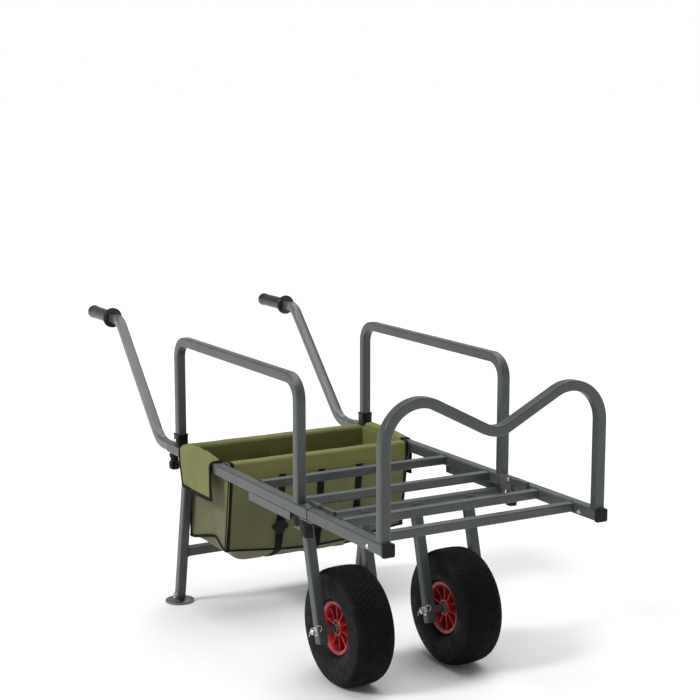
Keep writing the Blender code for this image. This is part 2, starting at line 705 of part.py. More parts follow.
def foot(side, sign):
    """Round plate on a stem that slides inside the leg."""
    x = sign * BAR_X
    slide = pivot("foot_slide_" + side, (x, *LEG_FOOT))
    outline = [(0, FOOT_RADIUS), (FOOT_PLATE - 0.001, FOOT_RADIUS),
               (FOOT_PLATE, 0.96 * FOOT_RADIUS)]
    plate = make_object("foot_" + side, turned(outline, 24), "zinc", slide)
    stem_side = BAR - 2 * BAR_WALL - 2 * GAP
    path = straight_path(on_leg(x, FOOT_PLATE / 2), on_leg(x, FOOT_STEM))
    corner = CORNER - BAR_WALL
    wall = 0.002
    rings = sweep(path, square_section(stem_side, corner), ACROSS)
    bore = sweep(path, square_section(stem_side - 2 * wall, corner / 2), ACROSS)
    stem = tool("foot_stem_" + side, skin(rings + bore[::-1], closed=True))
    combine(plate, stem, "UNION")


def rear_legs():
    fold = pivot("rear_legs_fold", (0, *LEG_PIVOT))
    for side, sign in SIDES:
        rear_leg(side, sign, fold)
        foot(side, sign)
    reach = HALF_WIDTH - BAR - GAP
    centre = on_leg(0, CROSSBAR_Z)
    ends = straight_path(centre - ACROSS * reach, centre + ACROSS * reach)
    hang(square_tube("leg_crossbar", ends, BAR, BAR_WALL, LEG_LINE), fold)


clear_scene()
fixed_frame()
front_deck()
for arch_side, arch_sign in SIDES:
    arch(arch_side, arch_sign)
    handle(arch_side, arch_sign)
knobs()
wheel_frame()
rear_legs()
bpy.context.view_layer.update()
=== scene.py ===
"""Finished look of the beach cart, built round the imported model.

Metres, +Z up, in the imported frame: X runs across with the left side at -X, -Y is the front
guard and +Y the handle end. Tables that go through mm() are in millimetres.
"""
import math

import bmesh
import bpy
from mathutils import Matrix, Vector, noise


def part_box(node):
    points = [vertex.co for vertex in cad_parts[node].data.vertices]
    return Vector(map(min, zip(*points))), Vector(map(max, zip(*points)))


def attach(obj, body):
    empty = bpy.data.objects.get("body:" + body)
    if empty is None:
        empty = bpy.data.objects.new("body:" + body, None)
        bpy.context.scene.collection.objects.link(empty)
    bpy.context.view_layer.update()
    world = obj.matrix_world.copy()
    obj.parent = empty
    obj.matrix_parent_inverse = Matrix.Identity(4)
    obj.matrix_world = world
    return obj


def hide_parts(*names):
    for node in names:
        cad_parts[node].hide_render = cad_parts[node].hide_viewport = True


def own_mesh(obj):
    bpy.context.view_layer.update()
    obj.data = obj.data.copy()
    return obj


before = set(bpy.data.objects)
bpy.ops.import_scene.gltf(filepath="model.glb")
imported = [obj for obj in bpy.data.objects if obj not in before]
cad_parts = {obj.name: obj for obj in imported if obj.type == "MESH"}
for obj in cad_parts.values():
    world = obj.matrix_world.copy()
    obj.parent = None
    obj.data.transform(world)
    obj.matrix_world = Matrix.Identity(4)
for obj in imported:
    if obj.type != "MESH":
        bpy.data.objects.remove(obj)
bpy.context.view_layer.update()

SIDES = (("left", -1), ("right", 1))
ACROSS, ALONG, UP = Vector((1, 0, 0)), Vector((0, 1, 0)), Vector((0, 0, 1))


def low(node, axis):
    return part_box(node)[0][axis]


def high(node, axis):
    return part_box(node)[1][axis]


def middle(node, axis):
    return (low(node, axis) + high(node, axis)) / 2


def mm(*pairs):
    return [(first / 1000, second / 1000) for first, second in pairs]


def clamp(value):
    return min(max(value, 0.0), 1.0)


# ------------------------------------------------------------------ sizes
GAP = 0.0003
HALF_WIDTH = high("rear_rail_right", 0)
RAIL_TOP = high("rear_rail_right", 2)
RAIL = 0.025
RAIL_X = HALF_WIDTH - RAIL / 2
RAIL_Z = RAIL_TOP - RAIL / 2
RAIL_INNER = HALF_WIDTH - RAIL
BAR, BAR_WALL = 0.022, 0.0015
BAR_X = HALF_WIDTH - BAR / 2
CORNER = 0.003
BORE = BAR + 2 * GAP
ON_RAIL = RAIL_TOP + GAP
FOLD_Y = -0.474

SLAT = 0.020
LAST_SLAT_Y = middle("rear_slat_3", 1)
CROSS_TUBE_Y = middle("rear_cross_tube", 1)
CROSS_TUBE_Z = middle("rear_cross_tube", 2)

ARCH_FRONT, ARCH_BACK = low("arch_left", 1) + BAR / 2, high("arch_left", 1) - BAR / 2
ARCH_MIDDLE_Z = high("arch_left", 2) - BAR / 2
ARCH_BEND = 0.044
GUARD_Y = middle("front_guard", 1)
GUARD_SLOPE = math.radians(27)
GUARD_DIP = 0.5887
GUARD_BEND, DIP_BEND = 0.080, 0.060
HANDLE_START = 0.140
HANDLE_ELBOW = 0.328
HANDLE_TOP = (0.591, middle("handle_grip_left", 2))
HANDLE_TUBE_END = 0.775
HANDLE_BENDS = (0.075, 0.050)
GRIP_START, GRIP_END = low("handle_grip_left", 1), high("handle_grip_left", 1)

AXLE_Y, AXLE_Z = middle("tyre_left", 1), middle("tyre_left", 2)
WHEEL_RADIUS = high("tyre_left", 2) - AXLE_Z
TYRE_HALF_WIDTH = (high("tyre_left", 0) - low("tyre_left", 0)) / 2
WHEEL_MIDDLE = {side: Vector((middle("tyre_" + side, 0), AXLE_Y, AXLE_Z)) for side, sign in SIDES}
FORK_HALF = 0.069
LEG_INSIDE, LEG_OUTSIDE = FORK_HALF - BAR / 2, FORK_HALF + BAR / 2
FORK_PIVOT = Vector((0, middle("fork_pivot_tube", 1), middle("fork_pivot_tube", 2)))
FORK_LINE = (Vector((0, AXLE_Y, AXLE_Z)) - FORK_PIVOT).normalized()
PIVOT_TUBE = (high("fork_pivot_tube", 2) - low("fork_pivot_tube", 2)) / 2
CLIP_LINE = Vector((0, -0.954, 0.300)).normalized()

LEG_PIVOT = Vector((0, 0.158, 0.362))
LEG_FOOT = Vector((0, 0.224, 0))
LEG_LINE = (LEG_FOOT - LEG_PIVOT).normalized()

BAG_HALF = 0.2455
BAG_BACK = 0.1855
BAG_FRONT_LOW, BAG_FRONT_HIGH = -0.012, -0.0414
BAG_LEAN_Z = 0.375
WALL_TOP, WALL_LOW = 0.4010, 0.188
BAG_FLOOR = low("bag", 2)
BELLY_Z = BAG_FLOOR - 0.023
STRAPS = (("left", -0.106), ("centre", 0.0), ("right", 0.106))
STRAP_WIDTH, STRAP_THICK = 0.018, 0.0016
CLOTH_THICK = 0.0011
FRONT_HEM_LENGTH, BACK_HEM_LENGTH = 0.078, 0.082
FLAP_SIZE = (0.183, 0.150)


# ------------------------------------------------------------------ materials
class Finish:
    """One procedural material: a Principled shader with nodes laid in front of it."""

    def __init__(self, name, roughness=0.5, metallic=0.0, **sockets):
        self.made = bpy.data.materials.new(name)
        self.made.use_nodes = True
        self.tree = self.made.node_tree
        self.shader = self.tree.nodes["Principled BSDF"]
        sockets.update(Roughness=roughness, Metallic=metallic)
        for socket, value in sockets.items():
            self.shader.inputs[socket.replace("_", " ")].default_value = value
        self.place = self.add("TexCoord").outputs["Object"]
        self.height = None

    def add(self, kind, **settings):
        node = self.tree.nodes.new("ShaderNode" + kind)
        for key, value in settings.items():
            setattr(node, key, value)
        return node

    def put(self, value, socket):
        if isinstance(value, bpy.types.NodeSocket):
            self.tree.links.new(value, socket)
        else:
            socket.default_value = value

    def noise(self, scale, detail, roughness=0.5, stretch=None):
        place = self.place
        if stretch:
            mapping = self.add("Mapping")
            mapping.inputs["Scale"].default_value = stretch
            self.put(place, mapping.inputs["Vector"])
            place = mapping.outputs["Vector"]
        node = self.add("TexNoise")
        for socket, value in (("Vector", place), ("Scale", scale), ("Detail", detail),
                              ("Roughness", roughness)):
            self.put(value, node.inputs[socket])
        return node.outputs["Fac"]

    def ramp(self, value, start, end, out_start=0.0, out_end=1.0):
        node = self.add("MapRange", interpolation_type="SMOOTHSTEP")
        for socket, number in zip(node.inputs, (value, start, end, out_start, out_end)):
            self.put(number, socket)
        return node.outputs[0]

    def cloud(self, scale, detail, start, end, out_start=0.0, out_end=1.0, roughness=0.5,
              stretch=None):
        """Noise, stretched so that the values from start to end fill the range out."""
        return self.ramp(self.noise(scale, detail, roughness, stretch), start, end, out_start,
                         out_end)

    def math(self, operation, first, second=0.0):
        node = self.add("Math", operation=operation)
        self.put(first, node.inputs[0])
        self.put(second, node.inputs[1])
        return node.outputs[0]

    def split(self, vector):
        node = self.add("SeparateXYZ")
        self.put(vector, node.inputs[0])
        return node.outputs

    def mix(self, factor, first, second):
        node = self.add("Mix", data_type="RGBA", blend_type="MIX")
        self.put(factor, node.inputs["Factor"])
        for value, socket in ((first, node.inputs["A"]), (second, node.inputs["B"])):
            self.put(value if isinstance(value, bpy.types.NodeSocket) else (*value, 1), socket)
        return node.outputs["Result"]

    def colour(self, value):
        self.put(value, self.shader.inputs["Base Color"])

    def gloss(self, value):
        self.put(value, self.shader.inputs["Roughness"])

    def bump(self, value, depth):
        """Adds a relief of that depth in metres on top of the ones before."""
        node = self.add("Bump")
        node.inputs["Strength"].default_value = 1.0
        node.inputs["Distance"].default_value = depth
        self.put(value, node.inputs["Height"])
        if self.height:
            self.put(self.height, node.inputs["Normal"])
        self.height = node.outputs["Normal"]
        self.put(self.height, self.shader.inputs["Normal"])


def shade(colour, share):
    return [share * part for part in colour]


def powder_coat(name, dark, light, gloss=(0.27, 0.39), coat=0.15):
    """Powder coat: orange peel, cloudy gloss, edges lightened as rubbed paint and as a painted
    edge highlight, and dust on faces that look up.
    """
    finish = Finish(name, gloss[0], 0.0, Coat_Weight=coat, Coat_Roughness=0.10,
                    Specular_IOR_Level=0.36)
    paint = finish.mix(finish.cloud(9, 4, 0.3, 0.7), dark, light)
    speck = finish.cloud(420, 2, 0.62, 0.72, 0.0, 0.06)
    paint = finish.mix(speck, paint, shade(light, 1.5))
    bevel = finish.add("Bevel", samples=4)
    bevel.inputs["Radius"].default_value = 0.0010
    geometry = finish.add("NewGeometry")
    facing = finish.add("VectorMath", operation="DOT_PRODUCT")
    finish.put(bevel.outputs[0], facing.inputs[0])
    finish.put(geometry.outputs["Normal"], facing.inputs[1])
    edge = finish.ramp(facing.outputs["Value"], 0.97, 0.80)
    # Edges lightened towards pale grey: partly rubbed paint, partly a painted highlight along the
    # rounded corners.
    rubbed_and_highlit = finish.math("MULTIPLY", edge, finish.cloud(55, 4, 0.46, 0.70))
    paint = finish.mix(finish.math("MULTIPLY", rubbed_and_highlit, 0.30), paint, (0.17, 0.18, 0.17))
    haze = finish.cloud(30, 3, 0.50, 0.80, 0.0, 0.10)
    paint = finish.mix(haze, paint, shade(dark, 0.75))
    geometry = finish.add("NewGeometry")
    upward = finish.ramp(finish.split(geometry.outputs["Normal"])["Z"], 0.2, 1.0)
    patchy = finish.cloud(18, 4, 0.3, 0.75, 0.3)
    dust = finish.math("MULTIPLY", finish.math("MULTIPLY", upward, patchy), 0.08)
    finish.colour(finish.mix(dust, paint, (0.24, 0.24, 0.22)))
    finish.gloss(finish.cloud(40, 5, 0.25, 0.75, *gloss))
    finish.bump(finish.noise(650, 2), 0.00005)
    finish.bump(finish.noise(70, 2), 0.00010)
    return finish.made


def zinc_plate(name, dark, light, gloss):
    """Zinc plating: small spangle cells, dull stains and cloudy gloss."""
    finish = Finish(name, gloss[0], 0.92)
    cells = finish.add("TexVoronoi")
    finish.put(finish.place, cells.inputs["Vector"])
    cells.inputs["Scale"].default_value = 320
    tone = finish.mix(cells.outputs["Distance"], dark, light)
    stain = finish.cloud(90, 4, 0.55, 0.75, 0.0, 0.35)
    finish.colour(finish.mix(stain, tone, shade(dark, 0.6)))
    finish.gloss(finish.cloud(130, 4, 0.3, 0.7, *gloss))
    finish.bump(finish.noise(1400, 2), 0.00003)
    return finish.made


def moulded(name, dark, light, gloss, grain=1100, depth=0.00005, **sockets):
    """Moulded plastic or rubber with a fine grain, faint scratches and cloudy gloss."""
    finish = Finish(name, gloss[0], 0.0, **sockets)
    tone = finish.mix(finish.cloud(45, 4, 0.3, 0.7), dark, light)
    scratch = finish.cloud(160, 3, 0.66, 0.74, 0.0, 0.35, stretch=(1, 0.12, 1))
    finish.colour(finish.mix(scratch, tone, [part + 0.01 for part in shade(light, 1.7)]))
    finish.gloss(finish.cloud(85, 4, 0.3, 0.7, *gloss))
    finish.bump(finish.noise(grain, 2), depth)
    return finish.made


def tyre_rubber(name, share, shine):
    """Matt rubber with a dusty film."""
    finish = Finish(name, 0.62, 0.0, Specular_IOR_Level=shine)
    tone = finish.mix(finish.cloud(22, 5, 0.35, 0.7), [share * 0.0050] * 3, [share * 0.0090] * 3)
    film = finish.cloud(120, 5, 0.52, 0.78, 0.0, 0.25, 0.6)
    finish.colour(finish.mix(film, tone, shade((0.022, 0.021, 0.019), share)))
    finish.gloss(finish.cloud(60, 4, 0.3, 0.7, 0.50, 0.72))
    finish.bump(finish.noise(900, 3), 0.00012)
    finish.bump(finish.noise(140, 3), 0.00020)
    return finish.made


def rim_plastic():
    """Glossy red plastic with grime in cloudy patches."""
    finish = Finish("rim_plastic", 0.3, 0.0, Coat_Weight=0.10, Coat_Roughness=0.25,
                    Subsurface_Weight=0.08, Subsurface_Scale=0.002)
    tone = finish.mix(finish.cloud(38, 4, 0.3, 0.7), (0.27, 0.006, 0.007), (0.36, 0.010, 0.010))
    grime = finish.cloud(75, 5, 0.55, 0.80, 0.0, 0.28, 0.6)
    finish.colour(finish.mix(grime, tone, (0.12, 0.006, 0.006)))
    finish.gloss(finish.cloud(110, 3, 0.3, 0.7, 0.34, 0.50))
    finish.bump(finish.noise(900, 2), 0.00004)
    return finish.made


def woven(name, dark, light, pitch, depth, sheen, crease=0.0, ribs=False, shine=0.28,
          upper=None):
    """Cloth with crossing threads that follow the UV map, which is in metres."""
    finish = Finish(name, 0.82, 0.0, Sheen_Weight=sheen, Sheen_Roughness=0.45,
                    Specular_IOR_Level=shine)
    along = finish.split(finish.add("TexCoord").outputs["UV"])
    turn = math.tau / pitch
    warp = finish.math("SINE", finish.math("MULTIPLY", along["X"], turn))
    weft = finish.math("SINE", finish.math("MULTIPLY", along["Y"], turn * (0.5 if ribs else 1.0)))
    threads = finish.math("MULTIPLY", warp, weft)
    weave = finish.ramp(threads, -1.0, 1.0)
    tone = finish.mix(finish.cloud(7, 5, 0.3, 0.7, roughness=0.55), dark, light)
    # Painted light: towards the top of the walls the cloth turns to a brighter olive tone, where
    # the key light falls on it.
    if upper:
        lit_top_share = finish.ramp(finish.split(finish.place)["Z"], 0.27, 0.37)
        tone = finish.mix(lit_top_share, tone, upper)
    slub = finish.cloud(500, 3, 0.45, 0.75, 0.0, 0.25, stretch=(1, 1, 0.15))
    tone = finish.mix(slub, tone, shade(light, 1.25))
    tone = finish.mix(finish.math("MULTIPLY", weave, 0.22), tone, shade(dark, 0.55))
    stain = finish.cloud(16, 5, 0.58, 0.80, 0.0, 0.18, 0.6)
    finish.colour(finish.mix(stain, tone, shade(dark, 0.62)))
    finish.gloss(finish.cloud(30, 4, 0.3, 0.7, 0.72, 0.90))
    if crease:
        finish.bump(finish.noise(28, 4, 0.55), crease)
        finish.bump(finish.noise(85, 3), crease * 0.3)
    finish.bump(threads, depth)
    return finish.made


PAINT = powder_coat("frame_paint", (0.037, 0.046, 0.042), (0.047, 0.056, 0.052))
HANDLE_PAINT = powder_coat("handle_paint", (0.044, 0.053, 0.048), (0.056, 0.065, 0.060),
                           gloss=(0.18, 0.27), coat=0.40)
ZINC = zinc_plate("zinc", (0.46, 0.47, 0.47), (0.64, 0.64, 0.61), (0.20, 0.40))
DULL_ZINC = zinc_plate("dull_zinc", (0.15, 0.15, 0.15), (0.23, 0.23, 0.22), (0.40, 0.56))
PLASTIC = moulded("black_plastic", (0.0055, 0.0055, 0.0057), (0.0090, 0.0090, 0.0092),
                  (0.30, 0.46), Specular_IOR_Level=0.14)
GRIP = moulded("grip_rubber", (0.0060, 0.0060, 0.0062), (0.010, 0.010, 0.010), (0.16, 0.27),
               grain=800, depth=0.00003, Specular_IOR_Level=0.45)
TYRE = tyre_rubber("tyre_rubber", 0.75, 0.12)
# The tread uses a darker copy of the tyre rubber: painted shade on the tread.
SHADED_TREAD = tyre_rubber("tread_rubber_painted_shade", 0.40, 0.08)
RIM = rim_plastic()
HUB = moulded("hub_plastic", (0.060, 0.055, 0.042), (0.090, 0.082, 0.064), (0.40, 0.55))
CAP = moulded("valve_cap", (0.012, 0.012, 0.012), (0.020, 0.020, 0.020), (0.30, 0.42))
OLIVE = woven("canvas_olive", (0.138, 0.142, 0.034), (0.172, 0.176, 0.047), 0.0017, 0.00016,
              0.10, crease=0.0022)
# Khaki outer cloth, with a painted lit olive tone towards the top of the walls.
KHAKI = woven("canvas_khaki", (0.106, 0.108, 0.048), (0.132, 0.134, 0.062), 0.0017, 0.00016,
              0.10, crease=0.0018, upper=(0.155, 0.159, 0.041))
BINDING = woven("binding_tape", (0.0035, 0.0034, 0.0028), (0.0060, 0.0058, 0.0048), 0.0012,
                0.00014, 0.02, shine=0.12)
WEBBING = woven("webbing", (0.0035, 0.0034, 0.0030), (0.0065, 0.0062, 0.0055), 0.0016, 0.00030,
                0.02, shine=0.12, ribs=True)
THREAD = woven("thread", (0.040, 0.042, 0.018), (0.062, 0.064, 0.028), 0.0008, 0.00008, 0.1)


# ------------------------------------------------------------------ mesh helpers
def piece(name, mesh, material, body, node=None, sharp=35):
    """A finished object from a bmesh in frame coordinates, riding on a body."""
    bmesh.ops.recalc_face_normals(mesh, faces=mesh.faces)
    data = bpy.data.meshes.new(name)
    mesh.to_mesh(data)
    mesh.free()
    data.shade_smooth()
    data.set_sharp_from_angle(angle=math.radians(sharp))
    data.materials.append(material)
    made = bpy.data.objects.new(name, data)
    bpy.context.scene.collection.objects.link(made)
    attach(made, body)
    if node:
        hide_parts(node)
    return made


def skin(mesh, rings, looped=False):
    """Faces through rings of equal length, added to the mesh, closed by caps or into a loop."""
    loops = [[mesh.verts.new(point) for point in ring] for ring in rings]
    pairs = list(zip(loops, loops[1:]))
    if looped:
        pairs.append((loops[-1], loops[0]))
    else:
        mesh.faces.new(loops[0])
        mesh.faces.new(loops[-1])
    for first, second in pairs:
        for i in range(len(first)):
            j = (i + 1) % len(first)
            mesh.faces.new((first[i], first[j], second[j], second[i]))
    return mesh


def rounded(width, height, corner, steps=4):
    """Points round a rectangle with round corners."""
    points = []
    for quarter, (u, v) in enumerate(((1, 1), (-1, 1), (-1, -1), (1, -1))):
        for step in range(steps + 1):
            angle = math.radians(90) * (quarter + step / steps)
            points.append(((width / 2 - corner) * u + corner * math.cos(angle),
                           (height / 2 - corner) * v + corner * math.sin(angle)))
    return points


def square(side, corner=CORNER, steps=4):
    return rounded(side, side, corner, steps)


def circle(radius, count):
    return [(radius * math.cos(math.tau * i / count), radius * math.sin(math.tau * i / count))
            for i in range(count)]


def upright(centre, y, outline):
    """An outline stood square to Y, at y from a centre."""
    return [centre + Vector((u, y, v)) for u, v in outline]


def frame_of(axis):
    """Two directions square to an axis."""
    first = ACROSS - axis * ACROSS.dot(axis) if abs(axis.x) < 0.9 else ALONG.copy()
    first.normalize()
    return first, axis.cross(first)


def lathe(centre, axis, outline, count=32, looped=False, mesh=None):
    """Turns (distance along the axis, radius) points about an axis through a centre."""
    centre, axis = Vector(centre), Vector(axis).normalized()
    first, second = frame_of(axis)
    rings = [[centre + axis * away + first * u + second * v for u, v in circle(radius, count)]
             for away, radius in outline]
    return skin(bmesh.new() if mesh is None else mesh, rings, looped)


def slab(mesh, centre, axis, size, corner, bevel, upward):
    """A plate with round corners and bevelled edges: size is (width, height, thickness)."""
    axis, second = axis.normalized(), upward.normalized()
    first = second.cross(axis)
    width, height, thick = size
    rings = []
    for inset, away in ((bevel, -thick / 2), (0, -thick / 2 + bevel), (0, thick / 2 - bevel),
                        (bevel, thick / 2)):
        outline = rounded(width - 2 * inset, height - 2 * inset, max(corner - inset, 1e-4))
        rings.append([centre + axis * away + first * u + second * v for u, v in outline])
    return skin(mesh, rings)


def bent_path(corners, radii, degrees=5):
    """Points and directions along straight runs joined by arcs, one radius a corner."""
    points = [Vector(corner) for corner in corners]
    path = [(points[0], (points[1] - points[0]).normalized())]
    for before, corner, after, radius in zip(points, points[1:], points[2:], radii):
        come = (corner - before).normalized()
        turn = come.angle(after - corner)
        axis = come.cross(after - corner).normalized()
        start = corner - come * radius * math.tan(turn / 2)
        centre = start + axis.cross(come) * radius
        steps = max(3, round(math.degrees(turn) / degrees))
        for step in range(steps + 1):
            swing = Matrix.Rotation(turn * step / steps, 3, axis)
            path.append((centre + swing @ (start - centre), swing @ come))
    path.append((points[-1], path[-1][1]))
    return path


def sweep(path, section, across):
    """Rings of a section carried along a flat path whose plane has the normal across."""
    return [[point + across * u + along.cross(across) * v for u, v in section]
            for point, along in path]


def bent_tube(name, across, corners, radii, material, body, node):
    """A square tube with round corners and soft cut ends."""
    path, trim = bent_path(corners, radii), 0.0004
    (start, away), (end, onward) = path[0], path[-1]
    path = [(start + away * trim, away)] + path[1:-1] + [(end - onward * trim, onward)]
    ends = square(BAR - 2 * trim, CORNER - trim)
    rings = sweep([(start, away)], ends, across)
    rings += sweep(path, square(BAR), across)
    rings += sweep([(end, onward)], ends, across)
    path = [(start, away)] + path + [(end, onward)]
    rings += sweep(path, square(BAR - 2 * BAR_WALL, CORNER - BAR_WALL), across)[::-1]
    piece(name, skin(bmesh.new(), rings, looped=True), material, body, node)


def wire(mesh, points, radius, count, closed=False, steps=6):
    """A round wire through points on a smooth curve."""
    points = [Vector(point) for point in points]
    number = len(points)
    line = []
    for i in range(number if closed else number - 1):
        if closed:
            a, b, c, d = (points[(i + k) % number] for k in (-1, 0, 1, 2))
        else:
            a, b, c, d = (points[min(max(i + k, 0), number - 1)] for k in (-1, 0, 1, 2))
        for t in (step / steps for step in range(steps)):
            line.append(0.5 * ((2 * b) + (c - a) * t + (2 * a - 5 * b + 4 * c - d) * t * t
                               + (3 * b - a - 3 * c + d) * t ** 3))
    if not closed:
        line.append(points[-1])
    total = len(line)
    rings, normal = [], None
    for i, point in enumerate(line):
        ahead = line[(i + 1) % total] if closed or i < total - 1 else point
        behind = line[i - 1] if closed or i > 0 else point
        along = (ahead - behind).normalized()
        normal = normal or along.orthogonal()
        normal = (normal - along * normal.dot(along)).normalized()
        other = along.cross(normal)
        rings.append([point + normal * u + other * v for u, v in circle(radius, count)])
    if closed:
        return skin(mesh, rings, looped=True)
    tips = []
    for ring, tip, before in ((rings[0], line[0], line[1]), (rings[-1], line[-1], line[-2])):
        push = (tip - before).normalized() * radius * 0.4
        tips.append([tip + (point - tip) * 0.6 + push for point in ring])
    return skin(mesh, [tips[0]] + rings + [tips[1]])


# ------------------------------------------------------------------ tubes and fittings
def guard():
    peak = GUARD_DIP + BAR_X * math.tan(GUARD_SLOPE)
    corners = [(x, GUARD_Y, z) for x, z in (
        (-BAR_X, ON_RAIL), (-BAR_X, peak), (0, GUARD_DIP), (BAR_X, peak), (BAR_X, ON_RAIL))]
    bent_tube("guard_tube", ALONG, corners, (GUARD_BEND, DIP_BEND, GUARD_BEND), PAINT,
              "front_deck", "front_guard")


def side_tubes(side, sign):
    """The arch, and the handle bar up to its end inside the grip."""
    corners = [(sign * BAR_X, y, z) for y, z in (
        (ARCH_FRONT, ON_RAIL), (ARCH_FRONT, ARCH_MIDDLE_Z),
        (ARCH_BACK, ARCH_MIDDLE_Z), (ARCH_BACK, ON_RAIL))]
    bent_tube("arch_tube_" + side, ACROSS, corners, (ARCH_BEND, ARCH_BEND), PAINT,
              "arch_body_" + side, "arch_" + side)
    corners = [(sign * RAIL_X, y, z) for y, z in (
        (HANDLE_START, RAIL_Z), (HANDLE_ELBOW, RAIL_Z), HANDLE_TOP,
        (HANDLE_TUBE_END, HANDLE_TOP[1]))]
    bent_tube("handle_bar_" + side, ACROSS, corners, HANDLE_BENDS, HANDLE_PAINT,
              "handle_" + side, "handle_tube_" + side)


def grip(side, sign):
    """Lathed rubber grip: flange, ribbed body and bulb end round the square tube."""
    body, bulb, flange, grooves = 0.0168, 0.0182, 0.0265, 6
    outline = [(GRIP_END - y, radius) for y, radius in (
        (0.0, 0.0004), (0.0006, 0.0075), (0.0026, 0.0138), (0.0060, 0.0172), (0.0105, bulb),
        (0.0160, bulb - 0.0003), (0.0230, body + 0.0003), (0.0290, body))]
    start, end = GRIP_START + 0.022, GRIP_END - 0.034
    for i in range(grooves):
        y = end + (start - end) * i / (grooves - 1)
        outline += [(y + 0.0016, body), (y + 0.0008, body - 0.0006), (y - 0.0008, body - 0.0006),
                    (y - 0.0016, body)]
    outline += [(GRIP_START + y, radius) for y, radius in (
        (0.0120, body), (0.0085, body + 0.0010), (0.0070, 0.0215), (0.0064, flange - 0.0008),
        (0.0048, flange), (0.0022, flange), (0.0006, flange - 0.0010), (0, flange - 0.0030))]
    centre = Vector((sign * RAIL_X, 0, HANDLE_TOP[1]))
    rings = [upright(centre, y, circle(radius, 40)) for y, radius in outline]
    bore = square(BORE, CORNER, 9)
    rings += [upright(centre, y, bore) for y in (GRIP_START, HANDLE_TUBE_END + GAP)]
    piece("grip_" + side, skin(bmesh.new(), rings), GRIP, "handle_" + side, "handle_grip_" + side)


def star_knob(kind, side):
    """Five-lobed clamp knob with a ribbed neck, and a washer."""
    node, body = kind + "_knob_" + side, kind + "_knob_body_" + side
    x, y = middle(node, 0), middle(node, 1)
    bottom, top = low(node, 2), high(node, 2)
    reach, neck, ribs = 0.0140, 0.0100, top - bottom - 0.0110

    def ring(away, radius_at):
        return [(x + radius_at(angle) * math.cos(angle), y + radius_at(angle) * math.sin(angle),
                 bottom + away) for angle in (math.tau * i / 80 for i in range(80))]

    def lobes(angle):
        return (0.5 - 0.5 * math.cos(5 * angle)) ** 1.4

    rings = [ring(away, lambda angle: reach * share * (1 - 0.21 * lobed * lobes(angle)))
             for away, share, lobed in (
                 (0, 0.20, 0), (0.0004, 0.60, 0.5), (0.0014, 0.86, 1), (0.0034, 0.975, 1),
                 (0.0090, 1.0, 1), (0.0165, 1.0, 1), (0.0195, 0.96, 1), (0.0212, 0.86, 0.7),
                 (0.0218, 0.78, 0.2))]
    rings += [ring(away, lambda angle: radius + 0.0004 * ribbed * math.cos(20 * angle))
              for away, radius, ribbed in (
                  (0.0226, neck, 0), (ribs - 0.0012, neck, 0), (ribs, neck + 0.0018, 1),
                  (ribs + 0.0084, neck + 0.0020, 1), (ribs + 0.0092, neck + 0.0008, 0))]
    piece("star_%s_%s" % (kind, side), skin(bmesh.new(), rings), PLASTIC, body, node)
    washer = mm((-1.6, 4.0), (-1.6, 9.2), (-1.3, 9.6), (-0.4, 9.6), (-0.1, 9.2), (-0.1, 4.0))
    piece("washer_%s_%s" % (kind, side), lathe((x, y, top), UP, washer, 36, looped=True), ZINC,
          body)


def end_cap(side, sign):
    """Square push-on cap with a domed face and a soft rim."""
    outer = high("end_cap_right", 0) - low("end_cap_right", 0)
    front, back = low("end_cap_right", 1), high("end_cap_right", 1)
    plate = low("front_rail_right", 1) - GAP
    centre = Vector((sign * RAIL_X, 0, RAIL_Z))
    rings = [upright(centre, y, square(outer - 2 * trim, max(CORNER + 0.0008 - trim / 2, 0.0008)))
             for trim, y in ((0.0075, front - 0.0004), (0.0040, front), (0.0014, front + 0.0002),
                             (0.0004, front + 0.0010), (0.0, front + 0.0022),
                             (0.0, back - 0.0008), (0.0005, back))]
    rings += [upright(centre, y, square(RAIL + 2 * GAP)) for y in (back, plate)]
    piece("rail_cap_" + side, skin(bmesh.new(), rings), PLASTIC, "front_deck", "end_cap_" + side)


def rail_plugs(side, sign):
    """Black end plugs whose lips show as the dark line where the deck folds."""
    proud, deep, rear = 0.00022, 0.0018, low("rear_rail_left", 1)
    front = rear - 3 * GAP
    centre = Vector((sign * RAIL_X, 0, RAIL_Z))
    for body, name, start, end in (("front_deck", "front", front - deep, front),
                                   ("frame", "rear", rear, rear + deep)):
        rings = [upright(centre, y, square(size)) for size, y in (
            (RAIL, start), (RAIL + 2 * proud, start + 0.0003), (RAIL + 2 * proud, end - 0.0003),
            (RAIL, end))]
        rings += [upright(centre, y, square(RAIL - 0.0030, CORNER - 0.001)) for y in (end, start)]
        piece("rail_plug_%s_%s" % (name, side), skin(bmesh.new(), rings, looped=True), PLASTIC,
              body)


def collar(side, sign):
    """Plastic socket of a rear arch post, with a flared foot and a clamp screw."""
    y = middle("arch_collar_left", 1)
    wide = high("arch_collar_left", 0) - low("arch_collar_left", 0)
    bottom, top = low("arch_collar_left", 2), high("arch_collar_left", 2)
    shapes = [(z, square(wide + 2 * grow, 0.0045)) for grow, z in (
        (0.0, bottom), (0.0006, bottom + 0.0006), (0.0006, bottom + 0.0040),
        (0.0, bottom + 0.0052), (0.0, top - 0.0052), (0.0008, top - 0.0040),
        (0.0008, top - 0.0008), (0.0002, top))]
    shapes += [(z, square(BORE)) for z in (top, bottom)]
    rings = [[(sign * BAR_X + u, y + v, z) for u, v in section] for z, section in shapes]
    piece("collar_" + side, skin(bmesh.new(), rings, looped=True), PLASTIC, "frame",
          "arch_collar_" + side)
    start = (sign * (BAR_X + wide / 2), y, (bottom + top) / 2)
    screw = mm((-0.6, 3.4), (0.4, 4.6), (1.8, 4.6), (2.7, 3.8), (3.1, 2.2), (2.4, 1.6), (2.4, 0.4))
    piece("collar_screw_" + side, lathe(start, sign * ACROSS, screw, 24), ZINC, "frame")


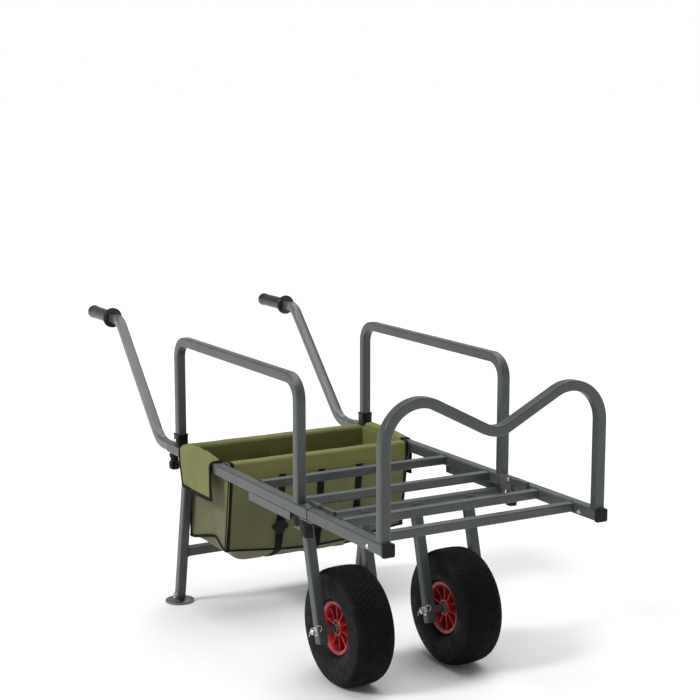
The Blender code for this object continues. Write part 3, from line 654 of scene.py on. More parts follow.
def deck_bolt(side, sign):
    """Dome-headed bolt through the front rail, with washer and lock nut inside."""
    node = "deck_bolt_" + side
    y, z = middle(node, 1), middle(node, 2)
    out = sign * ACROSS
    head = mm((-28.8, 2.6), (-28.4, 3.0), (0.0, 3.0), (0.2, 5.2))
    head += [(0.0002 + 0.0036 * math.sin(a), 0.0054 * math.cos(a))
             for a in (math.radians(15 * k) for k in range(1, 6))]
    piece("bolt_" + side, lathe((sign * HALF_WIDTH, y, z), out, head, 32), ZINC, "front_deck",
          node)
    inside = (sign * RAIL_INNER, y, z)
    nut = lathe(inside, -out, mm((0.0, 3.1), (0.0, 6.2), (0.8, 6.2), (0.8, 3.1)), 28, looped=True)
    lathe(inside, -out, mm((0.9, 3.1), (0.9, 5.0), (1.2, 5.6), (3.0, 5.6), (3.3, 5.0), (3.3, 3.1)),
          6, looped=True, mesh=nut)
    piece("bolt_nut_" + side, nut, ZINC, "front_deck")


def weld(mesh, centre, axis, width, height, size=0.0017, onto=0.0):
    """A rippled bead round a square tube where it meets a face or a tube of radius onto."""
    centre = Vector(centre)
    first, second = frame_of(axis)
    outline = [Vector(p) for p in rounded(width + size, height + size, CORNER + size / 2, 3)]
    line = []
    for i, start in enumerate(outline):
        end = outline[(i + 1) % len(outline)]
        parts = max(1, round((end - start).length / 0.0018))
        line += [start.lerp(end, k / parts) for k in range(parts)]
    rings = []
    for i, (u, v) in enumerate(line):
        along = (line[(i + 1) % len(line)] - line[i - 1]).normalized()
        out = Vector((along.y, -along.x))
        bead = size * (1.0 + 0.22 * math.sin(i * 2.1) + 0.10 * math.sin(i * 0.9))
        ring = []
        for angle in (math.tau * k / 6 for k in range(6)):
            w = Vector((u, v)) + out * bead * math.cos(angle)
            rise = math.sqrt(max(onto ** 2 - v ** 2, 0.0)) + bead * math.sin(angle) * 0.8
            ring.append(centre + first * w.x + second * w.y + axis * rise)
        rings.append(ring)
    skin(mesh, rings, looped=True)


def fork_saddle(name, pivot):
    """The coped end of a fork leg, which fills the space up to the round pivot tube."""
    across, along = frame_of(FORK_LINE)
    half, flat, reach = BAR / 2, BAR / 2 - CORNER, PIVOT_TUBE + GAP
    rings = []
    for k in range(25):
        v = half * math.sin(math.radians(180) * (k / 24 - 0.5))
        side = flat + math.sqrt(max(CORNER ** 2 - max(abs(v) - flat, 0.0) ** 2, 0.0))
        top = math.sqrt(max(PIVOT_TUBE ** 2 - v ** 2, 0.0))
        rings.append([pivot + along * v + across * u + FORK_LINE * w for u, w in (
            (-side, top), (side, top), (side, reach), (-side, reach))])
    piece(name, skin(bmesh.new(), rings), PAINT, "wheel_frame")


def welds():
    beads = {body: bmesh.new() for body in ("frame", "front_deck", "wheel_frame", "rear_legs")}
    for node, body in (("rear_slat_1", "frame"), ("rear_slat_2", "frame"),
                       ("rear_slat_3", "frame"), ("rear_cross_tube", "frame"),
                       ("front_slat_1", "front_deck"), ("front_slat_2", "front_deck")):
        tall = high(node, 2) - low(node, 2)
        for side, sign in SIDES:
            spot = (sign * (RAIL_INNER - 0.0006), middle(node, 1), middle(node, 2))
            weld(beads[body], spot, ACROSS, tall, tall)
    for side, sign in SIDES:
        weld(beads["front_deck"], (sign * (BAR_X - 0.0002), GUARD_Y, RAIL_TOP + 0.0004), UP,
             BAR - 0.0012, BAR)
        spot = (sign * (HALF_WIDTH - BAR - 0.0006), middle("leg_crossbar", 1),
                middle("leg_crossbar", 2))
        weld(beads["rear_legs"], spot, ACROSS, BAR, BAR)
        for leg in "ab":
            top = Vector((middle("fork_leg_%s_%s" % (side, leg), 0), 0, 0)) + FORK_PIVOT
            weld(beads["wheel_frame"], top, FORK_LINE, BAR - 0.0010, BAR - 0.0010, onto=PIVOT_TUBE)
            fork_saddle("fork_saddle_%s_%s" % (side, leg), top)
    for body, mesh in beads.items():
        piece("welds_" + body, mesh, PAINT, body, sharp=60)


def pins(side, sign):
    """The plug in an end of the pivot tube and the head of a hinge pin."""
    out = sign * ACROSS
    end = (sign * high("fork_pivot_tube", 0), FORK_PIVOT.y, FORK_PIVOT.z)
    plug = mm((-6, 9.3), (-0.2, 9.3), (0.0, 10.8), (0.8, 10.4), (1.5, 8.0), (1.8, 4.0))
    piece("pivot_plug_" + side, lathe(end, out, plug, 32), PLASTIC, "wheel_frame")
    ear = min(abs(low("front_rail_" + side, 0)), abs(high("front_rail_" + side, 0)))
    rivet = mm((-0.4, 4.6), (0.4, 5.0), (1.4, 4.4), (2.0, 2.6))
    piece("hinge_rivet_" + side, lathe((sign * ear, FOLD_Y, RAIL_TOP), -out, rivet, 24), ZINC,
          "front_deck")


def foot_clamp(side, sign):
    """Wing bolt that holds a foot stem at its height."""
    height = 0.0205
    spot = LEG_PIVOT + LEG_LINE * ((LEG_PIVOT.z - height) / -LEG_LINE.z)
    out = sign * ACROSS
    start = Vector((sign * HALF_WIDTH, spot.y, spot.z))
    mesh = lathe(start, out, mm((-0.8, 6.0), (1.2, 6.0), (1.4, 4.4), (5.0, 4.4), (5.8, 3.4),
                                (6.2, 1.6)), 20)
    for turn in (1, -1):
        lean = Vector((0, turn * 0.010, turn * 0.0045))
        slab(mesh, start + out * 0.0056 + lean * 0.72, lean.cross(out), (0.0075, 0.0095, 0.0020),
             0.0032, 0.0005, lean)
    piece("foot_clamp_" + side, mesh, ZINC, "rear_legs")


def foot(side, sign):
    """Zinc plate with a turned-up rim on a square stem."""
    centre = Vector((sign * BAR_X, LEG_FOOT.y, 0))
    mesh = lathe(centre, UP, mm(
        (0.0, 0.3), (0.0, 34.0), (0.6, 35.4), (1.8, 36.0), (3.4, 35.8), (4.0, 35.0), (3.8, 33.8),
        (2.4, 32.4), (2.2, 24.0), (3.4, 21.5), (3.6, 15.0), (3.6, 0.3)), 56)
    wide = BAR - 2 * BAR_WALL - 2 * GAP
    path = [(centre + LEG_LINE * -0.003, -LEG_LINE), (centre - LEG_LINE * 0.120, -LEG_LINE)]
    rings = sweep(path, square(wide, 0.0015), ACROSS)
    rings += sweep(path, square(wide - 0.004, 0.001), ACROSS)[::-1]
    skin(mesh, rings, looped=True)
    weld(mesh, centre + Vector((0, -0.0004, 0.0042)), UP, wide, wide, 0.0013)
    piece("foot_plate_" + side, mesh, DULL_ZINC, "foot_body_" + side, "foot_" + side)


# ------------------------------------------------------------------ wheels
def mirrored(half):
    """An outline with its mirror image added in reverse."""
    return half + [(-x, radius) for x, radius in half[::-1]]


def tyre_profile():
    """(offset, radius, share of the way across the tread or None) from bead to bead."""
    wall = mm((29.7, 50.3), (29.9, 56.0), (30.6, 59.2), (34.0, 61.2), (37.5, 64.2), (38.2, 65.0),
              (39.2, 64.6), (40.4, 66.8), (43.0, 71.0), (45.2, 77.0), (46.6, 85.0), (47.0, 94.0),
              (46.7, 102.0), (46.5, 103.2), (47.0, 104.2), (46.6, 105.4), (46.4, 110.0),
              (45.8, 115.0), (44.6, 117.8))
    crown, steps = [], 54
    for i in range(steps + 1):
        share = 1 - 2 * i / steps
        flat = abs(share)
        x = TYRE_HALF_WIDTH * 0.922 * math.copysign(flat ** 0.94, share)
        crown.append((x, WHEEL_RADIUS - 0.0036 * flat ** 2 - 0.0068 * flat ** 7, share))
    return ([(x, radius, None) for x, radius in wall] + crown
            + [(-x, radius, None) for x, radius in wall[::-1]])


def tread_depth(share, turn):
    """How far the tread is cut in: rows of small staggered knobs, longer on the shoulders."""
    rows, pitches, deep = 9, 66, 0.0017
    place = (share + 1) / 2 * rows
    row = min(int(place), rows - 1)
    across = place - row
    along = (turn * pitches + (0.5 if row % 2 else 0.0)) % 1.0
    edge = {0: 1 - across, rows - 1: across}.get(row, min(across, 1 - across))
    return deep * (1 - min(clamp((min(along, 1 - along) - 0.09) / 0.10),
                           clamp((edge - 0.08) / 0.12)))


def wheel(side, centre):
    """Tyre, then the rim, bush and valve inside it."""
    inner = mm((-23.5, 50.3), (-23.5, 63.0), (-37.0, 75.0), (-41.0, 94.0), (-35.0, 114.0),
               (0, 122.5), (35.0, 114.0), (41.0, 94.0), (37.0, 75.0), (23.5, 63.0), (23.5, 50.3))
    body, count = "wheel_" + side, 396
    rings = []
    for x, radius, share in tyre_profile() + [(x, radius, None) for x, radius in inner]:
        ring = []
        for turn in (i / count for i in range(count)):
            reach = radius if share is None else radius - tread_depth(share, turn)
            angle = math.tau * turn
            ring.append(centre + Vector((x, reach * math.sin(angle), reach * math.cos(angle))))
        rings.append(ring)
    tyre = piece("tread_tyre_" + side, skin(bmesh.new(), rings, looped=True), TYRE, body,
                 "tyre_" + side, sharp=50)
    # Faces out at the tread take the darker copy of the rubber: painted shade.
    tyre.data.materials.append(SHADED_TREAD)
    for face in tyre.data.polygons:
        away = face.center - centre
        face.material_index = int(math.hypot(away.y, away.z) > WHEEL_RADIUS - 0.0125)
    rim(side, centre, body)
    hub(side, centre, body)
    valve(side, centre, body)


def spoke_line(angle):
    return Vector((0, math.sin(angle), math.cos(angle)))


def rim(side, centre, body):
    """Moulded red rim: dished web, stepped barrel with a rolled lip, and ten ribs a side."""
    outline = mirrored(mm(
        (28.8, 13.7), (29.8, 14.2), (30.0, 17.6), (29.2, 18.4), (12.0, 19.6), (5.2, 20.6),
        (3.4, 22.5), (3.0, 26.0), (3.0, 42.0), (3.8, 44.8), (6.2, 46.2), (23.0, 47.8),
        (29.0, 49.4), (31.6, 51.2), (32.6, 54.0), (33.6, 56.6), (33.5, 58.0), (32.2, 58.4),
        (30.8, 57.6), (30.3, 55.0), (30.0, 51.0), (27.0, 50.0)))
    mesh = lathe(centre, ACROSS, outline, 96, looped=True)
    ribs, inner, outer, steps, foot_x = 10, 0.0190, 0.0478, 8, 0.0024
    for number in range(ribs):
        radial = spoke_line(math.tau * (number + 0.25) / ribs)
        beside = ACROSS.cross(radial)
        for face in (-1, 1):
            rings = []
            for t in (step / steps for step in range(steps + 1)):
                reach = inner + (outer - inner) * t
                top = 0.0276 - 0.0012 * math.sin(math.pi * t)
                rings.append([centre + radial * reach + ACROSS * face * x + beside * w
                              for x, w in ((foot_x, 0.0015), (top - 0.0005, 0.0012),
                                           (top, 0.0008), (top, -0.0008),
                                           (top - 0.0005, -0.0012), (foot_x, -0.0015))])
            skin(mesh, rings)
    piece("rim_" + side + "_moulding", mesh, RIM, body, "rim_" + side)


def hub(side, centre, body):
    """Bearing bush with a stepped nose and a dark seal at each end."""
    outline = mirrored(mm((29.6, 13.3), (31.0, 13.3), (31.8, 12.6), (33.0, 12.4), (34.2, 12.2),
                          (36.0, 11.8), (36.5, 11.0), (36.5, 6.4)))
    piece("bush_" + side, lathe(centre, ACROSS, outline, 48, looped=True), HUB, body,
          "hub_bush_" + side)
    seals = bmesh.new()
    for face in (-1, 1):
        lathe(centre, ACROSS * face, mm((35.0, 7.0), (35.0, 9.8), (36.7, 9.8), (37.0, 9.2),
                                        (37.0, 7.0)), 40, looped=True, mesh=seals)
    piece("hub_seals_" + side, seals, PLASTIC, body)


def valve(side, centre, body):
    """Rubber valve stem through the barrel wall with its cap."""
    radial = spoke_line(math.tau * 0.275)
    start = centre + radial * 0.0480 - ACROSS * 0.0150
    line = (-radial - ACROSS * 0.9).normalized()
    stem = mm((-1, 4.4), (1.2, 4.2), (3.0, 3.0), (15.0, 2.7))
    piece("valve_" + side, lathe(start, line, stem, 24), TYRE, body)
    cap = mm((-0.2, 3.0), (0.6, 3.6), (6.0, 3.6), (7.0, 3.0), (7.4, 1.6))
    piece("valve_cap_" + side, lathe(start + line * 0.0150, line, cap, 12), CAP, body)


def axle_fittings(side, centre):
    """Spacer sleeves beside the hub, a washer outside the leg, and the hairpin clip."""
    sleeves = bmesh.new()
    for face in (-1, 1):
        lathe(centre, ACROSS * face, [
            (0.0373, 0.0064), (0.0373, 0.0082), (0.0377, 0.0086), (LEG_INSIDE - 0.0008, 0.0086),
            (LEG_INSIDE - 0.0003, 0.0082), (LEG_INSIDE - 0.0003, 0.0064)], 36, looped=True,
            mesh=sleeves)
    washer = lathe(centre, -ACROSS, [(LEG_OUTSIDE + away, radius) for away, radius in mm(
        (0.1, 6.4), (0.1, 10.0), (1.2, 10.0), (1.2, 6.4))], 32, looped=True)
    piece("axle_sleeves_" + side, sleeves, DULL_ZINC, "wheel_frame")
    piece("axle_washer_" + side, washer, ZINC, "wheel_frame")
    hairpin(side, centre)


def hairpin(side, centre):
    """R-clip: a straight leg through the axle, an eye, a waved leg, and a pull ring."""
    start = centre - ACROSS * (LEG_OUTSIDE + 0.006)
    beside = CLIP_LINE.cross(ACROSS)
    eye, eye_s, aside, turns = 0.0036, 0.0160, 0.0026, 14
    line = [(s, t, 0.0) for s, t in mm((-18.5, -1.0), (-4, 0.0), (10, 0.0))]
    for i in range(turns + 1):
        angle = -math.pi / 2 + math.tau * 1.25 * i / turns
        line.append((eye_s + eye * math.cos(angle), eye + eye * math.sin(angle),
                     aside * i / turns))
    line += [(s, t, aside) for s, t in mm((10.0, 8.6), (3.0, 8.4), (-4.0, 6.6), (-10.0, 1.0),
                                          (-15.0, -5.0), (-18.5, -8.6))]
    points = [start + CLIP_LINE * s + beside * t - ACROSS * w for s, t, w in line]
    mesh = wire(bmesh.new(), points, 0.0010, 12, steps=5)
    ring_middle = start + CLIP_LINE * (eye_s + 0.0030) + UP * 0.0060 + ACROSS * 0.0030
    ring = [ring_middle + (ACROSS * math.cos(a) + UP * math.sin(a)) * 0.0070
            + CLIP_LINE * 0.0008 * math.sin(2 * a) for a in (math.tau * k / 16 for k in range(16))]
    wire(mesh, ring, 0.0008, 10, closed=True, steps=4)
    piece("hairpin_" + side, mesh, ZINC, "clip_" + side, "axle_clip_" + side)


# ------------------------------------------------------------------ bag
def lumps(x, y, z):
    return noise.noise(Vector((x, y, z)))


def front_y(z):
    """The front wall leans out towards the slat that carries it."""
    upright_below = 0.169
    share = clamp((z - upright_below) / (BAG_LEAN_Z - upright_below))
    return BAG_FRONT_LOW + (BAG_FRONT_HIGH - BAG_FRONT_LOW) * share


def pinch(x):
    """1 where a strap holds the cloth back, 0 well away from one."""
    return max(math.exp(-((x - strap_x) / 0.017) ** 2) for name, strap_x in STRAPS)


def ripple(x, y, z):
    """Soft unevenness of the cloth, in metres."""
    return 0.0026 * lumps(x * 11, y * 11, z * 9) + 0.0012 * lumps(x * 31 + 7, y * 31, z * 22)


def wall_point(face, t, h):
    """A point of the bag's wall: t along the face and h down it, both from 0 to 1."""
    arch = math.sin(math.pi * t)
    down = math.sin(math.pi * clamp((h - 0.15) / 0.85))
    edge = min(1.0, 6 * arch)
    if face in ("front", "back"):
        bottom = WALL_LOW - 0.020 * arch ** 1.3
    else:
        bottom = WALL_LOW + 0.014 * arch ** 2 - 0.010 * (t if face == "right" else 1 - t)
    if face == "back":
        bottom -= 0.010 * (1 - arch)
    z = WALL_TOP + (bottom - WALL_TOP) * h
    if face == "front":
        x = -BAG_HALF + 2 * BAG_HALF * t
        out = 0.0085 * down * arch ** 0.5 * (1 - 0.75 * pinch(x))
        out += edge * down * ripple(x, 0.3, z)
        return Vector((x, front_y(z) - max(out, -0.001), z))
    if face == "back":
        x = BAG_HALF - 2 * BAG_HALF * t
        out = 0.0060 * down * arch ** 0.5 * (1 - 0.9 * pinch(x))
        out += 0.7 * edge * down * ripple(x, -0.4, z)
        return Vector((x, BAG_BACK + min(max(out, -0.002), 0.0085), z))
    sign, share = (1, t) if face == "right" else (-1, 1 - t)
    y = front_y(z) + (BAG_BACK - front_y(z)) * share
    crease = max(0.0, 1 - abs(share - 0.50) / 0.50)
    pull = min(h * 1.15, 1.0) ** 1.3
    inward = 0.021 * crease ** 1.15 * pull + 0.0010
    inward += 0.8 * edge * down * abs(ripple(sign * 0.7, y, z))
    return Vector((sign * (BAG_HALF - inward), y, z))


def floor_point(u, v):
    """The bag's floor: a belly hung from the lower edge of the walls, held up by the straps."""
    front, back = wall_point("front", u, 1), wall_point("back", 1 - u, 1)
    right, left = wall_point("right", v, 1), wall_point("left", 1 - v, 1)
    point = (1 - v) * front + v * back + (1 - u) * left + u * right
    for end, share in ((0, 1 - u), (1, u)):
        point -= share * ((1 - v) * wall_point("front", end, 1)
                          + v * wall_point("back", 1 - end, 1))
    across = min(min(u, 1 - u) * 2 * BAG_HALF / 0.080, 1.0)
    along = min(min(v, 1 - v) * 2, 1.0)
    fall = (1 - (1 - across) ** 2.6) * (1 - (1 - along) ** 2.6)
    bottom = BELLY_Z + 0.0022 * lumps(u * 6, v * 4, 2.0)
    bottom += 0.0030 * pinch(-BAG_HALF + 2 * BAG_HALF * u) + 0.006 * (2 * u - 1) ** 4
    point.z += (bottom - point.z) * fall
    return point


def patch(mesh, uv, corners, places):
    """One face with its UV places."""
    for corner, place in zip(mesh.faces.new(corners).loops, places):
        corner[uv].uv = place


def bag_body():
    """One shell: four walls, with the side walls pulled in, and a sagging floor."""
    wide, deep, tall = 84, 34, 34
    mesh = bmesh.new()
    uv = mesh.loops.layers.uv.new("UVMap")
    loop = [(face, i / count) for face, count in (
        ("front", wide), ("right", deep), ("back", wide), ("left", deep)) for i in range(count)]
    total = len(loop)
    grid = [[mesh.verts.new(wall_point(face, t, row / tall)) for face, t in loop]
            for row in range(tall + 1)]
    lengths = [0.0]
    for i in range(total):
        lengths.append(lengths[-1] + (grid[0][(i + 1) % total].co - grid[0][i].co).length)
    for upper, lower in zip(grid, grid[1:]):
        for i in range(total):
            j = (i + 1) % total
            quad = (upper[i], upper[j], lower[j], lower[i])
            patch(mesh, uv, quad, [(lengths[i + step], vert.co.z)
                                   for step, vert in zip((0, 1, 1, 0), quad)])
    edge, place = grid[-1], {}
    for i in range(wide + 1):
        place[i, 0] = edge[i]
        place[wide - i, deep] = edge[(wide + deep + i) % total]
    for j in range(deep + 1):
        place[wide, j] = edge[wide + j]
        place[0, deep - j] = edge[(2 * wide + deep + j) % total]
    for i in range(1, wide):
        for j in range(1, deep):
            place[i, j] = mesh.verts.new(floor_point(i / wide, j / deep))
    for i in range(wide):
        for j in range(deep):
            quad = (place[i, j], place[i, j + 1], place[i + 1, j + 1], place[i + 1, j])
            patch(mesh, uv, quad, [(vert.co.x, vert.co.y) for vert in quad])
    made = thicken(mesh, "bag_cloth", (KHAKI, OLIVE), -1)
    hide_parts("bag")
    return made


def thicken(mesh, name, materials, offset):
    """Gives a sheet its thickness, outer material first, and rides it on the frame."""
    bmesh.ops.recalc_face_normals(mesh, faces=mesh.faces)
    data = bpy.data.meshes.new(name + "_sheet")
    mesh.to_mesh(data)
    mesh.free()
    for material in materials:
        data.materials.append(material)
    sheet = bpy.data.objects.new(name + "_sheet", data)
    bpy.context.scene.collection.objects.link(sheet)
    shell = sheet.modifiers.new("thickness", "SOLIDIFY")
    shell.thickness = CLOTH_THICK
    shell.offset = offset
    shell.use_even_offset = True
    shell.material_offset = shell.material_offset_rim = len(materials) - 1
    bpy.context.view_layer.update()
    final = bpy.data.meshes.new_from_object(
        sheet.evaluated_get(bpy.context.evaluated_depsgraph_get()))
    final.name = name
    bpy.data.objects.remove(sheet, do_unlink=True)
    final.shade_smooth()
    made = bpy.data.objects.new(name, final)
    bpy.context.scene.collection.objects.link(made)
    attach(made, "frame")
    return made


def cloth_grid(name, point, across, along, size):
    """A sheet from a function of two shares, with a UV map in metres."""
    mesh = bmesh.new()
    uv = mesh.loops.layers.uv.new("UVMap")
    verts = {(i, j): mesh.verts.new(point(i / across, j / along))
             for i in range(across + 1) for j in range(along + 1)}
    for i in range(across):
        for j in range(along):
            spots = ((i, j), (i, j + 1), (i + 1, j + 1), (i + 1, j))
            patch(mesh, uv, [verts[spot] for spot in spots],
                  [(a / across * size[0], b / along * size[1]) for a, b in spots])
    return thicken(mesh, name, (OLIVE,), 0)


def along_line(points, share):
    """The point at a share of the length of a line of (u, v) points."""
    points = [Vector(p) for p in points]
    steps = [(b - a).length for a, b in zip(points, points[1:])]
    target = share * sum(steps)
    for a, b, step in zip(points, points[1:], steps):
        if target <= step:
            return a.lerp(b, target / step)
        target -= step
    return points[-1]


def arc(u, v, wide, tall, start, step, count):
    """Points round (u, v), from an angle in degrees down in equal steps."""
    angles = [math.radians(start - step * k) for k in range(count)]
    return [(u + wide * math.cos(angle), v + tall * math.sin(angle)) for angle in angles]


def hem(name, y, top, front_low, back_low, half):
    """The sleeve of a wall round its tube, and the function of two shares it follows.

    The weave of both sleeves is laid out over the front one's length.
    """
    corner = 0.0045
    outline = [(y - half, front_low), (y - half, top - corner)]
    outline += arc(y - half + corner, top - corner, corner, corner, 157.5, 22.5, 4)
    outline += arc(y + half - corner, top - corner, corner, corner, 90, 22.5, 5)
    outline.append((y + half, back_low))

    def point(a, b):
        x = -BAG_HALF + 2 * BAG_HALF * a
        place = along_line(outline, b)
        lump = 0.0010 * (1 + lumps(x * 22, place.x * 40, 5.0))
        lump += 0.0012 * max(0.0, lumps(x * 9, 1.5, 8.0))
        inset = 0.0012 * math.sin(math.pi * a) if b < 0.45 else 0.0
        return Vector((x, place.x - inset, place.y + lump * math.sin(math.pi * clamp(b))))

    return cloth_grid(name, point, 90, 26, (2 * BAG_HALF, FRONT_HEM_LENGTH)), point


def flap_point(sign, a, b):
    """A point of a flap: a along the cart from its front edge, b from inside to hem."""
    low_corner = max(0.0, (b - 0.86) / 0.14)
    rear = 0.1775 - 0.0150 * max(0.0, (b - 0.36) / 0.64) ** 1.2 - 0.0075 * low_corner ** 2.2
    y = -0.006 + (rear + 0.006) * a
    inside, outside = BAG_HALF - 0.0008, 0.2762
    slack = 0.0046 + 0.0052 * math.sin(math.pi * a) ** 2 * (1 + lumps(y * 24, 3, sign))
    slack += 0.0048 * max(0.0, (a - 0.55) / 0.45) ** 0.8
    slack *= min(1.0, 0.25 + 4 * a) * (1 - 0.45 * max(0.0, (a - 0.93) / 0.07) ** 2)
    top = RAIL_TOP + 0.0016 + slack
    inner, outer = 0.0075, 0.0135
    outline = [(inside, 0.3840), (inside, top - inner)]
    outline += arc(inside + inner, top - inner, inner, inner, 162, 18, 5)
    outline += arc(outside - outer, top - 0.0006 - outer, outer + 0.0014, outer, 90, 90 / 7, 8)
    swing = 0.0022 * math.sin(math.pi * a) + 0.0012 * lumps(y * 17, 0, 4 + sign)
    outline += [(outside + 0.0012 + 0.5 * swing, 0.365), (outside + swing, 0.3125)]
    place = along_line(outline, b)
    hang = clamp((b - 0.50) / 0.5)
    wave = 0.0022 * hang * lumps(y * 30, place.y * 22, 6 * sign)
    lump = 0.0020 * math.sin(math.pi * min(b / 0.60, 1.0)) * lumps(y * 45, place.x * 60, 9 * sign)
    fall = 0.0014 * math.sin(math.pi * a) * hang
    return Vector((sign * (place.x + wave), y, place.y + lump - fall))


def ribbon(mesh, uv, points, outs, width, thick, wrap=0.0):
    """A flat tape along points whose middle faces outs; its wide side lies square to both."""
    section = rounded(width, thick, min(thick, width) * 0.42, 3)
    rings = []
    for i, (point, out) in enumerate(zip(points, outs)):
        along = (points[min(i + 1, len(points) - 1)] - points[max(i - 1, 0)]).normalized()
        out = (out - along * out.dot(along)).normalized()
        side = along.cross(out)
        rings.append([point + side * u + out * (v - wrap * (2 * u / width) ** 2)
                      for u, v in section])
    caps = 2
    index, length, count = len(mesh.faces) + caps, 0.0, len(section)
    skin(mesh, rings)
    mesh.faces.ensure_lookup_table()
    for start, end in zip(points, points[1:]):
        onward = length + (end - start).length
        for k in range(count):
            for corner, (s, w) in zip(mesh.faces[index].loops, (
                    (length, k), (length, k + 1), (onward, k + 1), (onward, k))):
                corner[uv].uv = (s, w * width / count * 2)
            index += 1
        length = onward


def stitch_row(mesh, points, outs, pitch=0.0062, length=0.0040):
    """Short raised stitches along a line."""
    travelled, due = 0.0, pitch / 2
    for a, b, out in zip(points, points[1:], outs):
        step = (b - a).length
        while due <= travelled + step:
            along, out = (b - a).normalized(), out.normalized()
            where = a.lerp(b, (due - travelled) / step)
            side = along.cross(out)
            skin(mesh, [[where + along * s * length + side * u + out * v
                         for u, v in circle(0.00042 * size, 6)]
                        for s, size in ((-0.5, 0.35), (-0.3, 1.0), (0.3, 1.0), (0.5, 0.35))])
            due += pitch
        travelled += step


def tape_mesh():
    mesh = bmesh.new()
    return mesh, mesh.loops.layers.uv.new("UVMap")


def flap_line(sign, path, lift=0.0):
    """Points and outward directions along a line of (a, b) shares on a flap."""
    points, outs = [], []
    for a, b in path:
        da = flap_point(sign, min(a + 0.01, 1.0), b) - flap_point(sign, max(a - 0.01, 0.0), b)
        db = flap_point(sign, a, min(b + 0.01, 1.0)) - flap_point(sign, a, max(b - 0.01, 0.0))
        outs.append(da.cross(db).normalized() * -sign)
        points.append(flap_point(sign, a, b) + outs[-1] * lift)
    return points, outs


def flap(side, sign):
    """A flap over a rail with its bound and stitched edges."""
    cloth = cloth_grid("bag_flap_" + side, lambda a, b: flap_point(sign, a, b), 44, 48, FLAP_SIZE)
    tape, uv = tape_mesh()
    stitches = bmesh.new()
    shares = [k / 40 for k in range(41)]
    down = [0.14 + 0.86 * share for share in shares]
    along = [0.018 + 0.967 * share for share in shares]
    for path in ([(0.018, b) for b in down], [(a, 0.982) for a in along],
                 [(0.985, b) for b in down]):
        ribbon(tape, uv, *flap_line(sign, path), 0.0088, 0.0032)
    for path in ([(0.046, b) for b in down[2:-2]], [(a, 0.950) for a in along[2:-2]],
                 [(0.957, b) for b in down[2:-2]]):
        stitch_row(stitches, *flap_line(sign, path, 0.0007))
    return cloth, [piece("flap_binding_" + side, tape, BINDING, "frame"),
                   piece("flap_stitches_" + side, stitches, THREAD, "frame")]


def bag_binding():
    """Black tape over the bag's upright edges and piping round its bottom edge."""
    mesh, uv = tape_mesh()
    for face, t, out, shift, width in (
            ("front", 0.0, (-0.5, -1, 0), 0.0036, 0.0120),
            ("front", 1.0, (0.5, -1, 0), -0.0036, 0.0120),
            ("back", 0.0, (1, 0.6, 0), -0.00072, 0.0085),
            ("back", 1.0, (-1, 0.6, 0), 0.00072, 0.0085)):
        out = Vector(out).normalized()
        points = [wall_point(face, t, 0.03 + 0.97 * k / 40) + out * 0.0010 + ACROSS * shift
                  for k in range(41)]
        ribbon(mesh, uv, points, [out] * len(points), width, 0.0030, wrap=0.0022)
    edges, edge_uv = tape_mesh()
    for face, count, facing, width in (
            ("front", 70, -ALONG, 0.0046), ("right", 30, ACROSS, 0.0080),
            ("back", 70, ALONG, 0.0046), ("left", 30, -ACROSS, 0.0080)):
        out = (facing * 0.8 - UP * 0.6).normalized()
        points = [wall_point(face, min(max(k / count, 0.002), 0.998), 1.0) + out * 0.0010
                  for k in range(count + 1)]
        ribbon(edges, edge_uv, points, [out] * len(points), width, 0.0036)
    return [piece("bag_edge_binding", mesh, BINDING, "frame"),
            piece("bag_bottom_piping", edges, BINDING, "frame")]


def hem_trim(front_hem, back_hem):
    """Tape on the ends of the front hem, and stitch rows along both hems."""
    tape, uv = tape_mesh()
    stitches = bmesh.new()
    for point, b, outer in ((front_hem, 0.06, -ALONG), (back_hem, 0.94, ALONG)):
        line = [point(0.02 + 0.96 * k / 120, b) + outer * 0.0010 for k in range(121)]
        stitch_row(stitches, line, [outer] * len(line))
    for a in (0.012, 0.988):
        points, outs = [], []
        for b in (0.01 + 0.98 * k / 32 for k in range(33)):
            ahead, behind = front_hem(a, min(b + 0.01, 1.0)), front_hem(a, max(b - 0.01, 0.0))
            points.append(front_hem(a, b))
            outs.append(ACROSS.cross(ahead - behind).normalized())
        ribbon(tape, uv, points, outs, 0.0095, 0.0030)
    return [piece("front_hem_binding", tape, BINDING, "frame"),
            piece("hem_stitches", stitches, THREAD, "frame")]


def wall_y(face, x, z):
    """Where a front or back wall stands at that x and height."""
    t = (x + BAG_HALF) / (2 * BAG_HALF)
    t = t if face == "front" else 1 - t
    bottom = wall_point(face, t, 1).z
    return wall_point(face, t, clamp((WALL_TOP - z) / (WALL_TOP - bottom))).y


def strap_points(x):
    """The middle line of a strap: down the front wall, round the belly and up the back."""
    off = 0.0019
    top, edge = BAG_LEAN_Z - 0.003, 0.178
    heights = [top + (edge - top) * k / 24 for k in range(25)]
    line = [Vector((x, wall_y("front", x, z) - off, z)) for z in heights]
    u = (x + BAG_HALF) / (2 * BAG_HALF)
    for v in (k / 30 for k in range(31)):
        outward = {0.0: -ALONG, 1.0: ALONG}.get(v, Vector())
        line.append(floor_point(u, v) + (outward * 1.6 - UP * 1.3) * off)
    line += [Vector((x, wall_y("back", x, z) + off, z)) for z in heights[::-1]]
    points = [line[0]]
    for before, here, after in zip(line, line[1:], line[2:]):
        points.append((before + 2 * here + after) / 4)
    points.append(line[-1])
    outs = []
    for i in range(len(points)):
        along = points[min(i + 1, len(points) - 1)] - points[max(i - 1, 0)]
        outs.append(along.cross(ACROSS).normalized())
    if outs[0].y > 0:
        outs = [-out for out in outs]
    return points, outs


